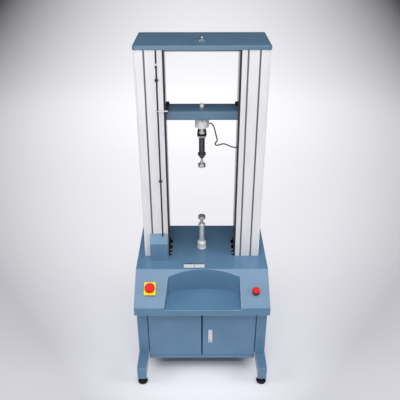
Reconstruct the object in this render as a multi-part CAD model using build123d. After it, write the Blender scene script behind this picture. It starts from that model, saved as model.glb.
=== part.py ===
from build123d import *
from math import atan2, cos, pi, radians, sin, sqrt, tan
import os

# Universal testing machine: two grooved column covers and a crosshead on a desk-height base.
# Millimetres, +Z up, the front faces -Y. The origin is on the floor, midway between the
# outer faces of the legs and midway between the ends of the foot beams.

# Feet and legs
foot_length = 776.0
base_width = 780.0
foot_outset = 3.0
foot_beam_width = 54.0
foot_beam_height = 88.0
foot_beam_bottom = 51.0
tube_wall = 3.0
tube_corner = 5.0
pad_diameter = 60.0
pad_height = 14.0
pad_seat = 4.0
pad_inset = 34.0
pad_plate = 9.0
pad_stud_diameter = 14.0
pad_stud_rise = 18.0
pad_nut_width = 24.0
pad_nut_height = 11.0
leg_width = 62.0
post_depth = 50.0
leg_rail_height = 40.0
side_panel_recess = 4.0
side_panel_margin = 30.0
side_panel_emboss = 0.8

# Cabinet between the legs
cabinet_front = -260.0
cabinet_back = 300.0
sheet = 2.5
rail_top = 122.0
rail_bend = 2.0
bottom_rail_height = 23.0
bottom_rail_depth = 34.0
header_height = 14.0
door_thickness = 18.0
door_skin = 1.5
door_fold = 14.0
door_edge_radius = 2.0
door_side_gap = 5.0
door_centre_gap = 8.0
door_end_gap = 3.0
door_back_gap = 4.5
hinge_inset = 9.0
hinge_pin_radius = 3.0
hinge_pin_length = 12.0
hinge_block_height = 18.0
latch_width = 24.0
latch_height = 100.0
latch_offset = 51.0
latch_level = 281.0
latch_rim = 3.0
latch_rim_thickness = 1.5
latch_wall = 1.5
latch_pocket = 12.0
latch_pocket_floor = 2.0
lever_thickness = 6.0
lever_proud = 1.0
lever_drop = 6.0
finger_recess = 20.0
lever_pin_radius = 1.5

# Vents in the back of the cabinet and of the housing
vent_count = 12
vent_pitch = 14.0
vent_width = 5.0
vent_height = 46.0
vent_offset = 170.0
vent_drop = 32.0

# Sheet-metal housing: deck, sloping panel, lip and tray
deck_height = 695.0
deck_overhang = 3.0
deck_front = -137.0
deck_tail = 40.0
lip_front = -336.0
panel_drop = 133.0
lip_height = 52.0
bend_radius = 6.0
bottom_pan_depth = 106.0
tray_floor_depth = 148.0
tray_arch_gap = 1.0
tray_arch_rise = 40.0
tray_left_margin = 193.0
tray_left_flare = 19.0
tray_right_margin = 170.0
tray_right_flare = 2.0

# Controls on the sloping panel, placed from the housing's side and by the distance down the slope
switch_side_inset = 90.0
switch_slope = 126.0
switch_width = 66.0
switch_length = 76.0
switch_height = 18.0
switch_corner = 5.0
switch_floor = 4.0
switch_block_size = (48.0, 60.0, 40.0)
knob_diameter = 58.0
knob_height = 27.0
knob_spindle_radius = 5.0
knob_spindle_depth = 10.0
grip_width = 14.0
grip_height = 8.0
grip_inset = 4.0
stop_side_inset = 79.0
stop_slope = 140.5
stop_head_diameter = 41.0
stop_head_height = 15.0
stop_collar_diameter = 46.0
stop_collar_height = 9.0
stop_stem_radius = 11.0
stop_pin_radius = 4.0
stop_pin_length = 6.0
stop_travel = 5.0
stop_travel_spare = 1.5
stop_block_size = (36.0, 44.0, 48.0)

# Machine bed and its supports
bed_thickness = 30.0
bed_side_inset = 5.0
bed_front = 8.0
bed_tail = 8.0
bed_corner = 8.0
support_wall = 4.0

# Columns, given for the right side and mirrored to the left
column_setback = 43.0
column_width = 146.0
column_depth = 320.0
column_corner = 12.0
cover_wall = 3.0
rear_setback = 4.5
groove_offsets = (31.5, 93.0)
groove_width = 9.4
groove_lip = 3.5
groove_depth = 12.0
groove_chamber = 17.0
rib_offsets = (8.0, 18.0)
rib_width = 1.6
rib_depth = 0.8
deck_hole_margin = 6.0
slot_clearance = 19.0
slot_lip_return = 14.0
seal_reach = 11.0
seal_thickness = 5.0
seal_grip = 8.0
seal_front = 0.5
angle_front = 9.0
angle_reach = 19.0
angle_leg = 60.0
angle_thickness = 4.0
angle_tail = 20.0
angle_screw_reach = 13.0
angle_screw_places = (22.0, 60.0, 118.0, 184.0)
angle_screw_radius = 2.4
angle_screw_head_radius = 5.0
angle_screw_head_height = 5.0
angle_socket_radius = 2.5
angle_socket_depth = 3.0

# Top
top_height = 1275.0
top_skirt = 22.0
top_front = -4.0
top_tail = 18.0
top_overhang = 3.5
top_corner = 12.0
crossbeam_thickness = 32.0
crossbeam_inset = 20.0
crossbeam_end_gap = 10.0
hoist_y = 125.0
hoist_boss_diameter = 93.0
hoist_boss_height = 2.0
hoist_washer_diameter = 40.0
hoist_washer_height = 3.5
hoist_nut_width = 15.0
hoist_nut_height = 7.5
hoist_dome_radius = 7.0

# Load axis, screws and guide columns
axis_y = 97.0
screw_offset = 44.0
screw_diameter = 32.0
lower_journal_diameter = 25.0
upper_journal_diameter = 20.0
journal_end_chamfer = 1.0
guide_offset = 99.0
guide_diameter = 35.0
guide_chamfer = 1.5
running_gap = 0.05
press_gap = 0.02
fit_gap = 0.1
seat_gap = 0.3
bearing_housing_diameter = 92.0
bearing_housing_height = 28.0
bearing_housing_chamfer = 3.0
bearing_spigot_diameter = 62.0
bearing_spigot_height = 20.0
top_bearing_diameter = 47.0
top_bearing_height = 14.0
top_bore_depth = 22.0
journal_shoulder = 8.0
journal_spare = 3.0

# Drive under the bed
pulley_diameter = 110.0
pulley_width = 24.0
pulley_flange = 3.0
pulley_flange_rise = 5.0
pulley_hub_wall = 10.0
pulley_hub_height = 10.0
pulley_top_depth = 88.0
screw_end_spare = 4.0
motor_y = 222.0
motor_pulley_diameter = 50.0
motor_flange_rise = 4.0
motor_shaft_diameter = 19.0
motor_shaft_depth = 10.0
motor_shaft_spare = 2.0
belt_thickness = 3.0
belt_gap = 0.3
belt_side_gap = 1.0
motor_plate_width = 130.0
motor_plate_thickness = 8.0
motor_plate_gap = 8.0
motor_plate_corner = 6.0
standoff_diameter = 14.0
standoff_inset = 14.0
gearbox_width = 86.0
gearbox_height = 62.0
gearbox_flange_height = 14.0
gearbox_base_height = 10.0
gearbox_step = 3.0
gearbox_corner = 8.0
motor_width = 80.0
motor_height = 140.0
motor_corner = 7.0
fin_count = 6
fin_pitch = 13.0
fin_gap = 5.0
fin_depth = 3.0
fin_start = 44.0
plug_socket_radius = 11.0
plug_socket_length = 8.0
plug_socket_spread = 16.0
plug_socket_level = 22.0

# Electronics cases on the cabinet's back wall
drive_case_size = (150.0, 70.0, 220.0)
control_case_size = (170.0, 60.0, 200.0)
case_side_gap = 60.0
case_level = 60.0
case_corner = 4.0
case_slot_count = 7
case_slot_pitch = 14.0
case_slot_width = 6.0
case_slot_height = 50.0
case_slot_drop = 20.0
case_slot_depth = 4.0

# Crosshead and what it carries
crosshead_bottom = 870.0
crosshead_height = 49.0
crosshead_front = 29.0
crosshead_back = 165.0
crosshead_end_gap = 14.0
crosshead_edge_radius = 2.5
nut_diameter = 48.0
nut_flange_diameter = 62.0
nut_flange_height = 12.0
nut_flange_flat = 29.0
nut_proud = 3.0
bush_diameter = 48.0
bush_overhang = 16.0
end_block_width = 19.0
end_block_height = 14.0
end_block_back_gap = 4.0
left_block_gap = 4.0
right_block_length = 36.0
arm_post_width = 10.0
arm_post_depth = 16.0
arm_post_height = 20.0
stud_washer_diameter = 42.0
stud_washer_height = 4.0
stud_nut_diameter = 23.6
stud_nut_height = 9.0
stud_diameter = 17.6
stud_height = 26.0
cell_diameter = 78.0
cell_height = 61.0
cell_round = 23.0
cell_top_round = 13.0
cell_boss_diameter = 40.0
cell_boss_height = 6.0
cell_neck_diameter = 16.0
cell_neck_flare = 5.0
gland_radius = 5.0
gland_length = 2.0
gland_root = 3.0
gland_level = 827.0
trip_level = 935.0
trip_depth = 13.0
trip_thickness = 3.0
trip_reach = 13.5
trip_corner = 1.4

# Fixtures on the load axis, heights above the deck
edge_chamfer = 1.0
cup_top = 791.0
cup_bottom = 758.0
cup_diameter = 54.0
cup_slot = 26.0
cup_wall = 3.0
cup_floor = 12.0
cup_mouth_gap = 2.0
disc_diameter = 40.0
disc_height = 9.0
upper_ring_height = 9.0
upper_shaft_diameter = 34.0
flare_top = 651.0
flare_bottom = 633.0
flare_diameter = 46.0
flare_edge = 3.0
taper_bottom = 617.0
stem_diameter = 16.0
stem_spigot_length = 14.0
stem_step = 2.0
hub_height = 8.0
hub_step = 4.0
upper_plate_top = 580.0
upper_plate_bottom = 562.0
plate_diameter = 44.0
lower_plate_top = 231.0
lower_plate_thickness = 19.0
lower_neck_diameter = 17.5
neck_flare = 3.0
shoulder_top = 177.0
shoulder_bottom = 159.0
shoulder_diameter = 43.0
shoulder_bevel = 4.0
lower_shaft_diameter = 32.0
lock_ring_diameter = 56.0
lock_ring_top = 50.0
lock_ring_bevel = 8.0
spanner_hole_radius = 3.0
spanner_hole_depth = 6.0
lower_base_diameter = 60.0
lower_base_height = 10.0
lower_base_bevel = 3.0
bed_stud_diameter = 20.0
bed_stud_length = 28.0

# Travel-limit rod and switch box in front of the left column
rod_diameter = 7.0
rod_hole_diameter = 9.0
rod_top_gap = 1.0
rod_bottom = 70.0
rod_travel = 4.0
collar_diameter = 20.0
collar_height = 16.0
collar_bevel = 4.5
collar_gap = 0.5
upper_collar_drop = 175.0
lower_collar_level = 518.6
guide_block_drop = 92.0
guide_block_height = 9.0
guide_block_width = 16.0
guide_collar_diameter = 12.0
guide_collar_height = 10.0
cam_radius = 6.0
cam_height = 12.0
box_outer_reach = 75.5
box_inner_reach = 30.5
box_depth = 50.0
box_front_height = 117.0
box_back_height = 162.0
box_edge_radius = 4.0
box_hole_gap = 1.0
switch_body_size = (30.0, 16.0, 44.0)
switch_body_gap = 1.0

# Load cell cable
cable_diameter = 7.0
cable_hanger_thickness = 3.0
cable_hanger_width = 20.0
cable_hanger_bottom = 662.0
cable_route = (
    (48.5, 97.0, 827.0),
    (56.5, 96.8, 823.0),
    (63.0, 96.5, 815.5),
    (67.8, 96.1, 804.5),
    (71.8, 95.5, 790.5),
    (76.0, 94.6, 773.5),
    (80.5, 93.7, 754.5),
    (84.8, 92.9, 739.0),
    (87.8, 92.5, 727.5),
    (81.0, 93.3, 716.0),
    (74.0, 94.2, 706.5),
    (78.5, 95.0, 696.5),
    (92.5, 96.0, 694.5),
    (106.0, 96.6, 700.5),
    (122.0, 97.0, 704.5),
    (139.0, 97.2, 700.0),
    (158.0, 97.0, 690.0),
    (184.0, 97.0, 680.5),
)

# Worked-out places
beam_top = foot_beam_bottom + foot_beam_height
half_base = base_width / 2
half_foot = half_base + foot_outset
leg_inner = half_base - leg_width
half_deck = half_base + deck_overhang
column_outer = half_deck - column_setback
column_inner = column_outer - column_width
rear_inner = column_inner + rear_setback
deck_back = column_depth + deck_tail
housing_bottom = deck_height - panel_drop - lip_height
door_top = housing_bottom - header_height
door_low = rail_top + door_end_gap
door_high = door_top - door_end_gap
hinge_x = leg_inner - door_side_gap - hinge_inset
hinge_y = cabinet_front + door_thickness / 2
bed_top = deck_height - sheet
bed_bottom = bed_top - bed_thickness
bed_back = column_depth - bed_tail
beam_bottom = deck_height + top_height - sheet - crossbeam_thickness
screw_x = column_inner + screw_offset
guide_x = column_inner + guide_offset
crosshead_low = deck_height + crosshead_bottom
crosshead_top = crosshead_low + crosshead_height
slot_back = crosshead_back + slot_clearance
panel_run = deck_front - lip_front
panel_slope = atan2(panel_drop, panel_run)
switch_x = -(half_deck - switch_side_inset)
stop_x = half_deck - stop_side_inset
pulley_top = deck_height - pulley_top_depth
pulley_bottom = pulley_top - pulley_width
motor_plate_top = pulley_bottom - motor_plate_gap
motor_plate_bottom = motor_plate_top - motor_plate_thickness
rod_x = -(column_inner + groove_offsets[0])
rod_y = -(collar_diameter / 2 + collar_gap)
box_left = rod_x - box_outer_reach
box_right = rod_x + box_inner_reach
cable_hanger_x = rear_inner


def block(x, y, z):
    """A box between low and high X, Y and Z."""
    size = (x[1] - x[0], y[1] - y[0], z[1] - z[0])
    middle = ((x[0] + x[1]) / 2, (y[0] + y[1]) / 2, (z[0] + z[1]) / 2)
    return Pos(*middle) * Box(*size)


def post(radius, x, y, z):
    """A round bar along Z between two heights."""
    return Pos(x, y, (z[0] + z[1]) / 2) * Cylinder(radius, z[1] - z[0])


def ring(outer, inner, x, y, z):
    """A round tube along Z between two heights."""
    longer = (z[0] - 1, z[1] + 1)
    return post(outer, x, y, z) - post(inner, x, y, longer)


def turned(outline, x, y):
    """A turned piece: an outline of (radius, height) points spun about a vertical axis."""
    face = make_face(Polyline(*[(r, 0, h) for r, h in outline], close=True))
    return Pos(x, y, 0) * revolve(face, Axis.Z)


def mirrored(piece):
    """The same piece on the left side."""
    return mirror(piece, about=Plane.YZ)


def upright_edges(piece):
    """The edges of a piece that run along Z."""
    return piece.edges().filter_by(Axis.Z)


def on_panel(x, down):
    """A plane on the sloping panel, its z away from the sheet and its y up the slope."""
    start = (x, deck_front - down * cos(panel_slope), deck_height - down * sin(panel_slope))
    return Plane(origin=start, x_dir=(1, 0, 0), z_dir=(0, -sin(panel_slope), cos(panel_slope)))


def foot_beam():
    """Right foot: a rounded rectangular tube along Y with welded end caps."""
    x = (half_foot - foot_beam_width, half_foot)
    y = (-foot_length / 2, foot_length / 2)
    z = (foot_beam_bottom, beam_top)
    outer = block(x, y, z)
    outer = fillet(outer.edges().filter_by(Axis.Y), tube_corner)
    outer = fillet(outer.faces().sort_by(Axis.Y)[0].edges().sort_by(Axis.Z)[-1], tube_corner)
    hollow_x = (x[0] + tube_wall, x[1] - tube_wall)
    hollow_y = (y[0] + tube_wall, y[1] - tube_wall)
    shell = outer - block(hollow_x, hollow_y, (z[0] + tube_wall, z[1] - tube_wall))
    for end in (-1, 1):
        middle = end * (foot_length / 2 - pad_inset)
        span = (middle - pad_diameter / 2, middle + pad_diameter / 2)
        plate = block(hollow_x, span, (z[0], z[0] + pad_plate))
        hole = post(pad_stud_diameter / 2 + fit_gap, pad_x(), middle, (z[0] - 1, z[1] - tube_wall))
        shell = shell + plate - hole
    return shell


def pad_x():
    """The middle of the right foot beam."""
    return half_foot - foot_beam_width / 2


def pad_places():
    """Where the four levelling feet stand."""
    y = foot_length / 2 - pad_inset
    return [(sx * pad_x(), sy * y) for sx in (-1, 1) for sy in (-1, 1)]


def levelling_pads():
    """Four dished rubber pads on the floor."""
    radius = pad_diameter / 2
    bore = pad_stud_diameter / 2 + fit_gap
    outline = [
        (bore, pad_seat), (0, pad_seat), (0, 0), (radius - 2, 0), (radius, 3), (radius, pad_height - 3),
        (radius - 2, pad_height), (radius - 6, pad_height), (radius - 10, pad_height / 2),
        (bore, pad_seat + 5),
    ]
    pads = [turned(outline, x, y) for x, y in pad_places()]
    return Compound(pads)


def levelling_studs():
    """Four studs that run from the pads up into the foot beams, each with its lock nut."""
    studs = []
    for x, y in pad_places():
        stud = post(pad_stud_diameter / 2, x, y, (pad_seat, foot_beam_bottom + pad_stud_rise))
        nut_low = foot_beam_bottom - pad_nut_height
        hexagon = extrude(RegularPolygon(pad_nut_width / 2, 6, major_radius=False), pad_nut_height)
        studs.append(stud + Pos(x, y, nut_low) * hexagon)
    return Compound(studs)


def leg_frame():
    """Right leg: front and rear posts with an upper and a lower rail, welded from square tube."""
    x = (leg_inner, half_base)
    y = (cabinet_front, cabinet_back)
    z = (beam_top, housing_bottom)
    outer = block(x, y, z)
    outer = fillet(upright_edges(outer), tube_corner)
    window_y = (y[0] + post_depth, y[1] - post_depth)
    window_z = (z[0] + leg_rail_height, z[1] - leg_rail_height)
    frame = outer - block((x[0] - 1, x[1] + 1), window_y, window_z)
    inside_x = (x[0] + tube_wall, x[1] - tube_wall)
    for low, high in ((y[0], window_y[0]), (window_y[1], y[1])):
        frame = frame - block(inside_x, (low + tube_wall, high - tube_wall), (z[0] - 1, z[1] - tube_wall))
    for low, high in ((z[0], window_z[0]), (window_z[1], z[1])):
        along = (window_y[0] - 2 * tube_wall, window_y[1] + 2 * tube_wall)
        frame = frame - block(inside_x, along, (low + tube_wall, high - tube_wall))
    return frame


def side_panel():
    """Right side panel: a flat sheet set a little back in the leg's window."""
    x = (half_base - side_panel_recess - sheet, half_base - side_panel_recess)
    y = (cabinet_front + post_depth + seat_gap, cabinet_back - post_depth - seat_gap)
    z = (beam_top + leg_rail_height + seat_gap, housing_bottom - leg_rail_height - seat_gap)
    panel = block(x, y, z)
    field_y = (y[0] + side_panel_margin, y[1] - side_panel_margin)
    field_z = (z[0] + side_panel_margin, z[1] - side_panel_margin)
    return panel - block((x[1] - side_panel_emboss, x[1] + 1), field_y, field_z)


def vents(back, high):
    """Two rows of upright slots through a back sheet, as one tool to cut with."""
    slots = []
    for side in (-1, 1):
        for step in range(vent_count):
            x = side * vent_offset + (step - (vent_count - 1) / 2) * vent_pitch
            span = (x - vent_width / 2, x + vent_width / 2)
            slots.append(block(span, (back - 2 * sheet, back + sheet), (high - vent_height, high)))
    return Compound(slots)


def cabinet_shell():
    """Floor, two sides and back of the cabinet, folded from sheet."""
    x = leg_inner - seat_gap
    front = cabinet_front + door_thickness + door_back_gap
    z = (rail_top, housing_bottom)
    outer = block((-x, x), (front, cabinet_back), z)
    inner = block((-x + sheet, x - sheet), (front - 1, cabinet_back - sheet), (z[0] + sheet, z[1] + 1))
    header_y = (front - 1, cabinet_front + bottom_rail_depth + seat_gap)
    shell = outer - inner - block((-x - 1, x + 1), header_y, (door_top - seat_gap, z[1] + 1))
    return shell - vents(cabinet_back, housing_bottom - vent_drop)


def bottom_rail():
    """The folded channel below the doors, with the sides and rear of the base frame."""
    back = cabinet_front + bottom_rail_depth
    low = rail_top - bottom_rail_height
    rail = block((-leg_inner + seat_gap, leg_inner - seat_gap), (cabinet_front, back), (low, rail_top))
    rail = fillet(rail.edges().filter_by(Axis.X).sort_by(Axis.Y)[:2], rail_bend)
    hollow_y = (cabinet_front + sheet, back - sheet)
    hollow = block((-leg_inner, leg_inner), hollow_y, (low - 1, rail_top - sheet))
    full_x = (-leg_inner + seat_gap, leg_inner - seat_gap)
    rear = block(full_x, (cabinet_back - sheet, cabinet_back), (low, rail_top))
    side_x = (leg_inner - seat_gap - sheet, leg_inner - seat_gap)
    side = block(side_x, (cabinet_front + sheet, cabinet_back - sheet), (low, rail_top))
    return rail - hollow + rear + side + mirrored(side)


def header_rail():
    """The flat channel above the doors, under the housing."""
    x = leg_inner - seat_gap
    z = (housing_bottom - header_height, housing_bottom)
    rail = block((-x, x), (cabinet_front, cabinet_front + bottom_rail_depth), z)
    hollow = block((-x - 1, x + 1), (cabinet_front + sheet, cabinet_front + bottom_rail_depth + 1),
                   (z[0] + sheet, z[1] - sheet))
    return rail - hollow


def door_hinge_pins():
    """Four pins: two stand on the bottom rail and two hang from the header."""
    pins = []
    for side in (-1, 1):
        x = side * hinge_x
        pins.append(post(hinge_pin_radius, x, hinge_y, (rail_top, rail_top + hinge_pin_length)))
        pins.append(post(hinge_pin_radius, x, hinge_y, (door_top - hinge_pin_length, door_top)))
    return Compound(pins)


def door_pan():
    """Right door: a folded pan with hinge blocks at its outer corners."""
    x = (door_centre_gap / 2, leg_inner - door_side_gap)
    y = (cabinet_front, cabinet_front + door_thickness)
    z = (door_low, door_high)
    pan = block(x, y, z)
    front_edges = pan.faces().sort_by(Axis.Y)[0].edges()
    pan = fillet(front_edges, door_edge_radius)
    inside = block((x[0] + door_skin, x[1] - door_skin), (y[0] + door_skin, y[1] + 1),
                   (z[0] + door_skin, z[1] - door_skin))
    back_ring = block(x, (y[1] - door_skin, y[1]), z)
    opening_x = (x[0] + door_fold, x[1] - door_fold)
    opening_z = (z[0] + door_fold, z[1] - door_fold)
    pan = pan - inside + (back_ring - block(opening_x, (y[0], y[1] + 1), opening_z))
    block_x = (x[1] - 2 * hinge_inset, x[1] - door_skin)
    block_y = (y[0] + door_skin, y[1] - door_skin)
    bore = hinge_pin_radius + running_gap
    for low, high in ((z[0], z[0] + hinge_block_height), (z[1] - hinge_block_height, z[1])):
        pan = pan + block(block_x, block_y, (low, high))
    for low, high in ((z[0] - 1, z[0] + hinge_pin_length), (z[1] - hinge_pin_length, z[1] + 1)):
        pan = pan - post(bore, hinge_x, hinge_y, (low, high))
    return pan


def latch_span():
    """The latch case on the right door: low and high X, and low and high Z."""
    return ((latch_offset - latch_width / 2, latch_offset + latch_width / 2),
            (latch_level - latch_height / 2, latch_level + latch_height / 2))


def right_door():
    """Right door with the cut-out that takes the flush latch."""
    x, z = latch_span()
    opening_x = (x[0] + latch_rim - fit_gap, x[1] - latch_rim + fit_gap)
    opening_z = (z[0] + latch_rim - fit_gap, z[1] - latch_rim + fit_gap)
    return door_pan() - block(opening_x, (cabinet_front - 1, cabinet_front + 2 * door_skin), opening_z)


def latch_case():
    """Flush pull: a rimmed pocket let into the right door."""
    x, z = latch_span()
    rim = block(x, (cabinet_front - latch_rim_thickness, cabinet_front), z)
    rim = fillet(rim.edges().filter_by(Axis.Y), latch_rim)
    body_x = (x[0] + latch_rim, x[1] - latch_rim)
    body_z = (z[0] + latch_rim, z[1] - latch_rim)
    body = block(body_x, (cabinet_front, cabinet_front + latch_pocket), body_z)
    pocket_y = (cabinet_front - 2 * latch_rim_thickness, cabinet_front + latch_pocket - latch_pocket_floor)
    pocket = block((body_x[0] + latch_wall, body_x[1] - latch_wall), pocket_y,
                   (body_z[0] + latch_wall, body_z[1] - latch_wall))
    pin_hole = Pos(latch_offset, lever_pin_y(), lever_pin_z()) * Rot(0, 90, 0) * Cylinder(
        lever_pin_radius + running_gap, latch_width - 2 * latch_rim + 4)
    pin_hole = pin_hole & block(body_x, (cabinet_front - 1, cabinet_front + latch_pocket), body_z)
    return rim + body - pocket - pin_hole


def lever_pin_y():
    """Depth of the latch lever's pin."""
    return cabinet_front + lever_thickness / 2 - lever_proud


def lever_pin_z():
    """Height of the latch lever's pin."""
    return latch_level + latch_height / 2 - latch_rim - latch_wall - lever_drop


def latch_lever():
    """The lever of the flush pull, on a pin at its upper end."""
    x, z = latch_span()
    gap = latch_rim + latch_wall + seat_gap
    low = z[0] + gap + finger_recess
    y = (cabinet_front - lever_proud, cabinet_front - lever_proud + lever_thickness)
    lever = block((x[0] + gap, x[1] - gap), y, (low, lever_pin_z()))
    lever = lever + Pos(latch_offset, lever_pin_y(), lever_pin_z()) * Rot(0, 90, 0) * Cylinder(
        lever_thickness / 2, latch_width - 2 * gap)
    pin = Pos(latch_offset, lever_pin_y(), lever_pin_z()) * Rot(0, 90, 0) * Cylinder(
        lever_pin_radius, latch_width - 2 * latch_rim - 1)
    return lever + pin


def housing_outline():
    """Side view of the housing as (Y, Z): deck, sloping panel, lip, bottom and back."""
    return [
        (deck_back, deck_height), (deck_front, deck_height), (lip_front, deck_height - panel_drop),
        (lip_front, housing_bottom), (deck_back, housing_bottom),
    ]


def housing_blank(inset):
    """The housing's outer form, or its hollow when inset by the sheet."""
    outline = Plane.YZ * make_face(Polyline(*housing_outline(), close=True))
    upper = [v for v in outline.vertices() if v.Z > housing_bottom + 1]
    outline = fillet(upper, bend_radius)
    if inset:
        outline = offset(outline, -inset)
    return extrude(outline, half_deck - inset, both=True)


def tray_plan(grow):
    """Plan of the tray: splayed sides and an arched back, open towards the front."""
    left = -(half_deck - tray_left_margin) - grow
    right = half_deck - tray_right_margin + grow
    arch_back = deck_front - tray_arch_gap
    side_back = arch_back - tray_arch_rise
    past_lip = 20.0
    stretch = (side_back - lip_front + past_lip) / (side_back - lip_front)
    edge = Polyline(
        (left, side_back), (left - tray_left_flare * stretch, lip_front - past_lip),
        (right + tray_right_flare * stretch, lip_front - past_lip), (right, side_back),
    )
    arch = ThreePointArc((right, side_back), ((left + right) / 2, arch_back + grow), (left, side_back))
    return make_face([edge, arch])


def panel_hole(x, down, radius):
    """A round hole through the sloping panel."""
    return on_panel(x, down) * Cylinder(radius, 6 * sheet)


def deck_housing():
    """One welded sheet-metal housing with the arched tray let into its sloping front."""
    outer = housing_blank(0)
    shell = outer - housing_blank(sheet)
    side = half_deck - sheet
    open_from = lip_front + bottom_pan_depth
    open_z = (housing_bottom - 1, housing_bottom + sheet + 1)
    shell = shell - block((-side, side), (open_from, deck_back - sheet), open_z)
    floor = deck_height - tray_floor_depth
    wall = extrude(Pos(0, 0, floor - sheet) * tray_plan(sheet), tray_floor_depth + sheet) & outer
    hollow = extrude(Pos(0, 0, floor) * tray_plan(0), tray_floor_depth + 20)
    shell = shell + wall - hollow
    for sign in (-1, 1):
        x = sorted((sign * (column_inner + deck_hole_margin), sign * (column_outer - deck_hole_margin)))
        shell = shell - block(x, (bed_front, bed_back), (bed_top - 1, deck_height + 1))
    shell = shell - post(bed_stud_diameter / 2 + fit_gap, 0, axis_y, (bed_top - 1, deck_height + 1))
    shell = shell - vents(deck_back, deck_height - vent_drop)
    return shell - panel_hole(stop_x, stop_slope, stop_stem_radius + stop_travel_spare)


def machine_bed():
    """The thick plate that the columns, screws and lower fixture stand on."""
    x = half_base - bed_side_inset
    bed = block((-x, x), (bed_front, bed_back), (bed_bottom, bed_top))
    bed = chamfer(upright_edges(bed), bed_corner)
    through = (bed_bottom - 1, bed_top + 1)
    for sign in (-1, 1):
        bed = bed - post(bearing_spigot_diameter / 2 + fit_gap, sign * screw_x, axis_y, through)
    return bed - post(bed_stud_diameter / 2 + fit_gap, 0, axis_y, through)


def bed_support():
    """Right support: a box of thick sheet between the leg and the bed."""
    x = (leg_inner, half_base - bed_side_inset)
    wall = support_wall
    outer = block(x, (bed_front, bed_back), (housing_bottom, bed_bottom))
    inner = block((x[0] + wall, x[1] - wall), (bed_front + wall, bed_back - wall),
                  (housing_bottom - 1, bed_bottom - wall))
    return outer - inner


def column_plan(inset):
    """Plan of the right column cover: front, outer side and back, open towards the middle."""
    past = 2 * cover_wall if inset else 0
    outline = make_face(Polyline(
        (column_inner - past, inset), (column_outer - inset, inset),
        (column_outer - inset, column_depth - inset), (rear_inner - past, column_depth - inset), close=True))
    corners = [v for v in outline.vertices() if v.X > column_outer - inset - 1]
    return fillet(corners, column_corner - inset)


def strip_plan(x, width, front, back):
    """A rectangle in the column's plan, centred on x, between two depths."""
    return Pos(x, (front + back) / 2) * Rectangle(width, back - front)


def column_cover():
    """Right column cover: an extrusion with two T-slots and two fine grooves in its front."""
    plan = column_plan(0) - column_plan(cover_wall)
    for offset in groove_offsets:
        x = column_inner + offset
        plan = plan + strip_plan(x, groove_chamber + 2 * cover_wall, 0, groove_depth + cover_wall)
        plan = plan - strip_plan(x, groove_width, -1, groove_depth)
        plan = plan - strip_plan(x, groove_chamber, groove_lip, groove_depth)
    for offset in rib_offsets:
        plan = plan - strip_plan(column_inner + offset, rib_width, -1, rib_depth)
    height = beam_bottom + crossbeam_thickness - deck_height - seat_gap
    return extrude(Pos(0, 0, deck_height) * plan, height)


def inner_cover():
    """Right inner cover: the painted sheet that closes the column behind the crosshead's slot."""
    inside = rear_inner + seat_gap
    y = (slot_back, column_depth - cover_wall - seat_gap)
    z = (deck_height, beam_bottom - seat_gap)
    wall = block((inside, inside + sheet), y, z)
    fold = block((inside, inside + slot_lip_return), (y[0], y[0] + sheet), z)
    tail = block((inside, inside + 2 * slot_lip_return), (y[1] - sheet, y[1]), z)
    return wall + fold + tail


def seal_strip():
    """Right slot seal: a black strip clipped on the cover's inner edge."""
    z = (deck_height, deck_height + top_height - top_skirt - seat_gap)
    inner = column_inner - seal_reach
    y = (cover_wall, cover_wall + seal_thickness)
    strip = block((inner, column_inner + seal_grip), y, z)
    face = block((inner, column_inner - seat_gap), (seal_front, cover_wall), z)
    return strip + face


def foot_angle():
    """Right foot angle: it holds the column cover's foot to the bed beside the slot."""
    x = (column_inner - angle_reach, column_inner - seat_gap)
    z = (deck_height, deck_height + angle_thickness)
    short_y = (angle_front, slot_back - seat_gap)
    strip = block(x, (angle_front, slot_back + angle_tail), z)
    stand_x = (column_inner + sheet + seat_gap, column_inner + sheet + seat_gap + angle_thickness)
    link = block((x[0], stand_x[1]), short_y, z)
    stand = block(stand_x, short_y, (deck_height, deck_height + angle_leg))
    angle = strip + link + stand
    screw_place = column_inner - angle_screw_reach
    for y in angle_screw_places:
        angle = angle - post(angle_screw_radius + fit_gap, screw_place, y, (z[0] - 1, z[1] + 1))
    return angle


def foot_screws():
    """Socket-head screws of both foot angles."""
    screws = []
    low = deck_height + angle_thickness
    high = low + angle_screw_head_height
    for sign in (-1, 1):
        x = sign * (column_inner - angle_screw_reach)
        for y in angle_screw_places:
            head = post(angle_screw_head_radius, x, y, (low, high))
            socket = Pos(x, y, high - angle_socket_depth) * RegularPolygon(angle_socket_radius, 6)
            shank = post(angle_screw_radius, x, y, (deck_height + seat_gap, low))
            screws.append(head - extrude(socket, angle_socket_depth + 1) + shank)
    return Compound(screws)


def guide_column():
    """Right guide column between the bed and the cross beam."""
    bar = post(guide_diameter / 2, guide_x, axis_y, (bed_top, beam_bottom))
    return chamfer(bar.edges().filter_by(GeomType.CIRCLE), guide_chamfer)


def screw_bearings():
    """Lower bearing housings of both screws, flanged to the underside of the bed."""
    housings = []
    for sign in (-1, 1):
        x = sign * screw_x
        low = bed_bottom - bearing_housing_height
        high = bed_bottom + bearing_spigot_height
        body = post(bearing_housing_diameter / 2, x, axis_y, (low, bed_bottom))
        body = chamfer(body.faces().sort_by(Axis.Z)[0].edges(), bearing_housing_chamfer)
        spigot = post(bearing_spigot_diameter / 2, x, axis_y, (bed_bottom, high))
        bore = post(lower_journal_diameter / 2 + running_gap, x, axis_y, (low - 1, high + 1))
        housings.append(body + spigot - bore)
    return housings


def top_bearings():
    """Upper bearings of both screws in the cross beam."""
    z = (beam_bottom, beam_bottom + top_bearing_height)
    inner = upper_journal_diameter / 2 + running_gap
    return [ring(top_bearing_diameter / 2, inner, side * screw_x, axis_y, z) for side in (-1, 1)]


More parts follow.
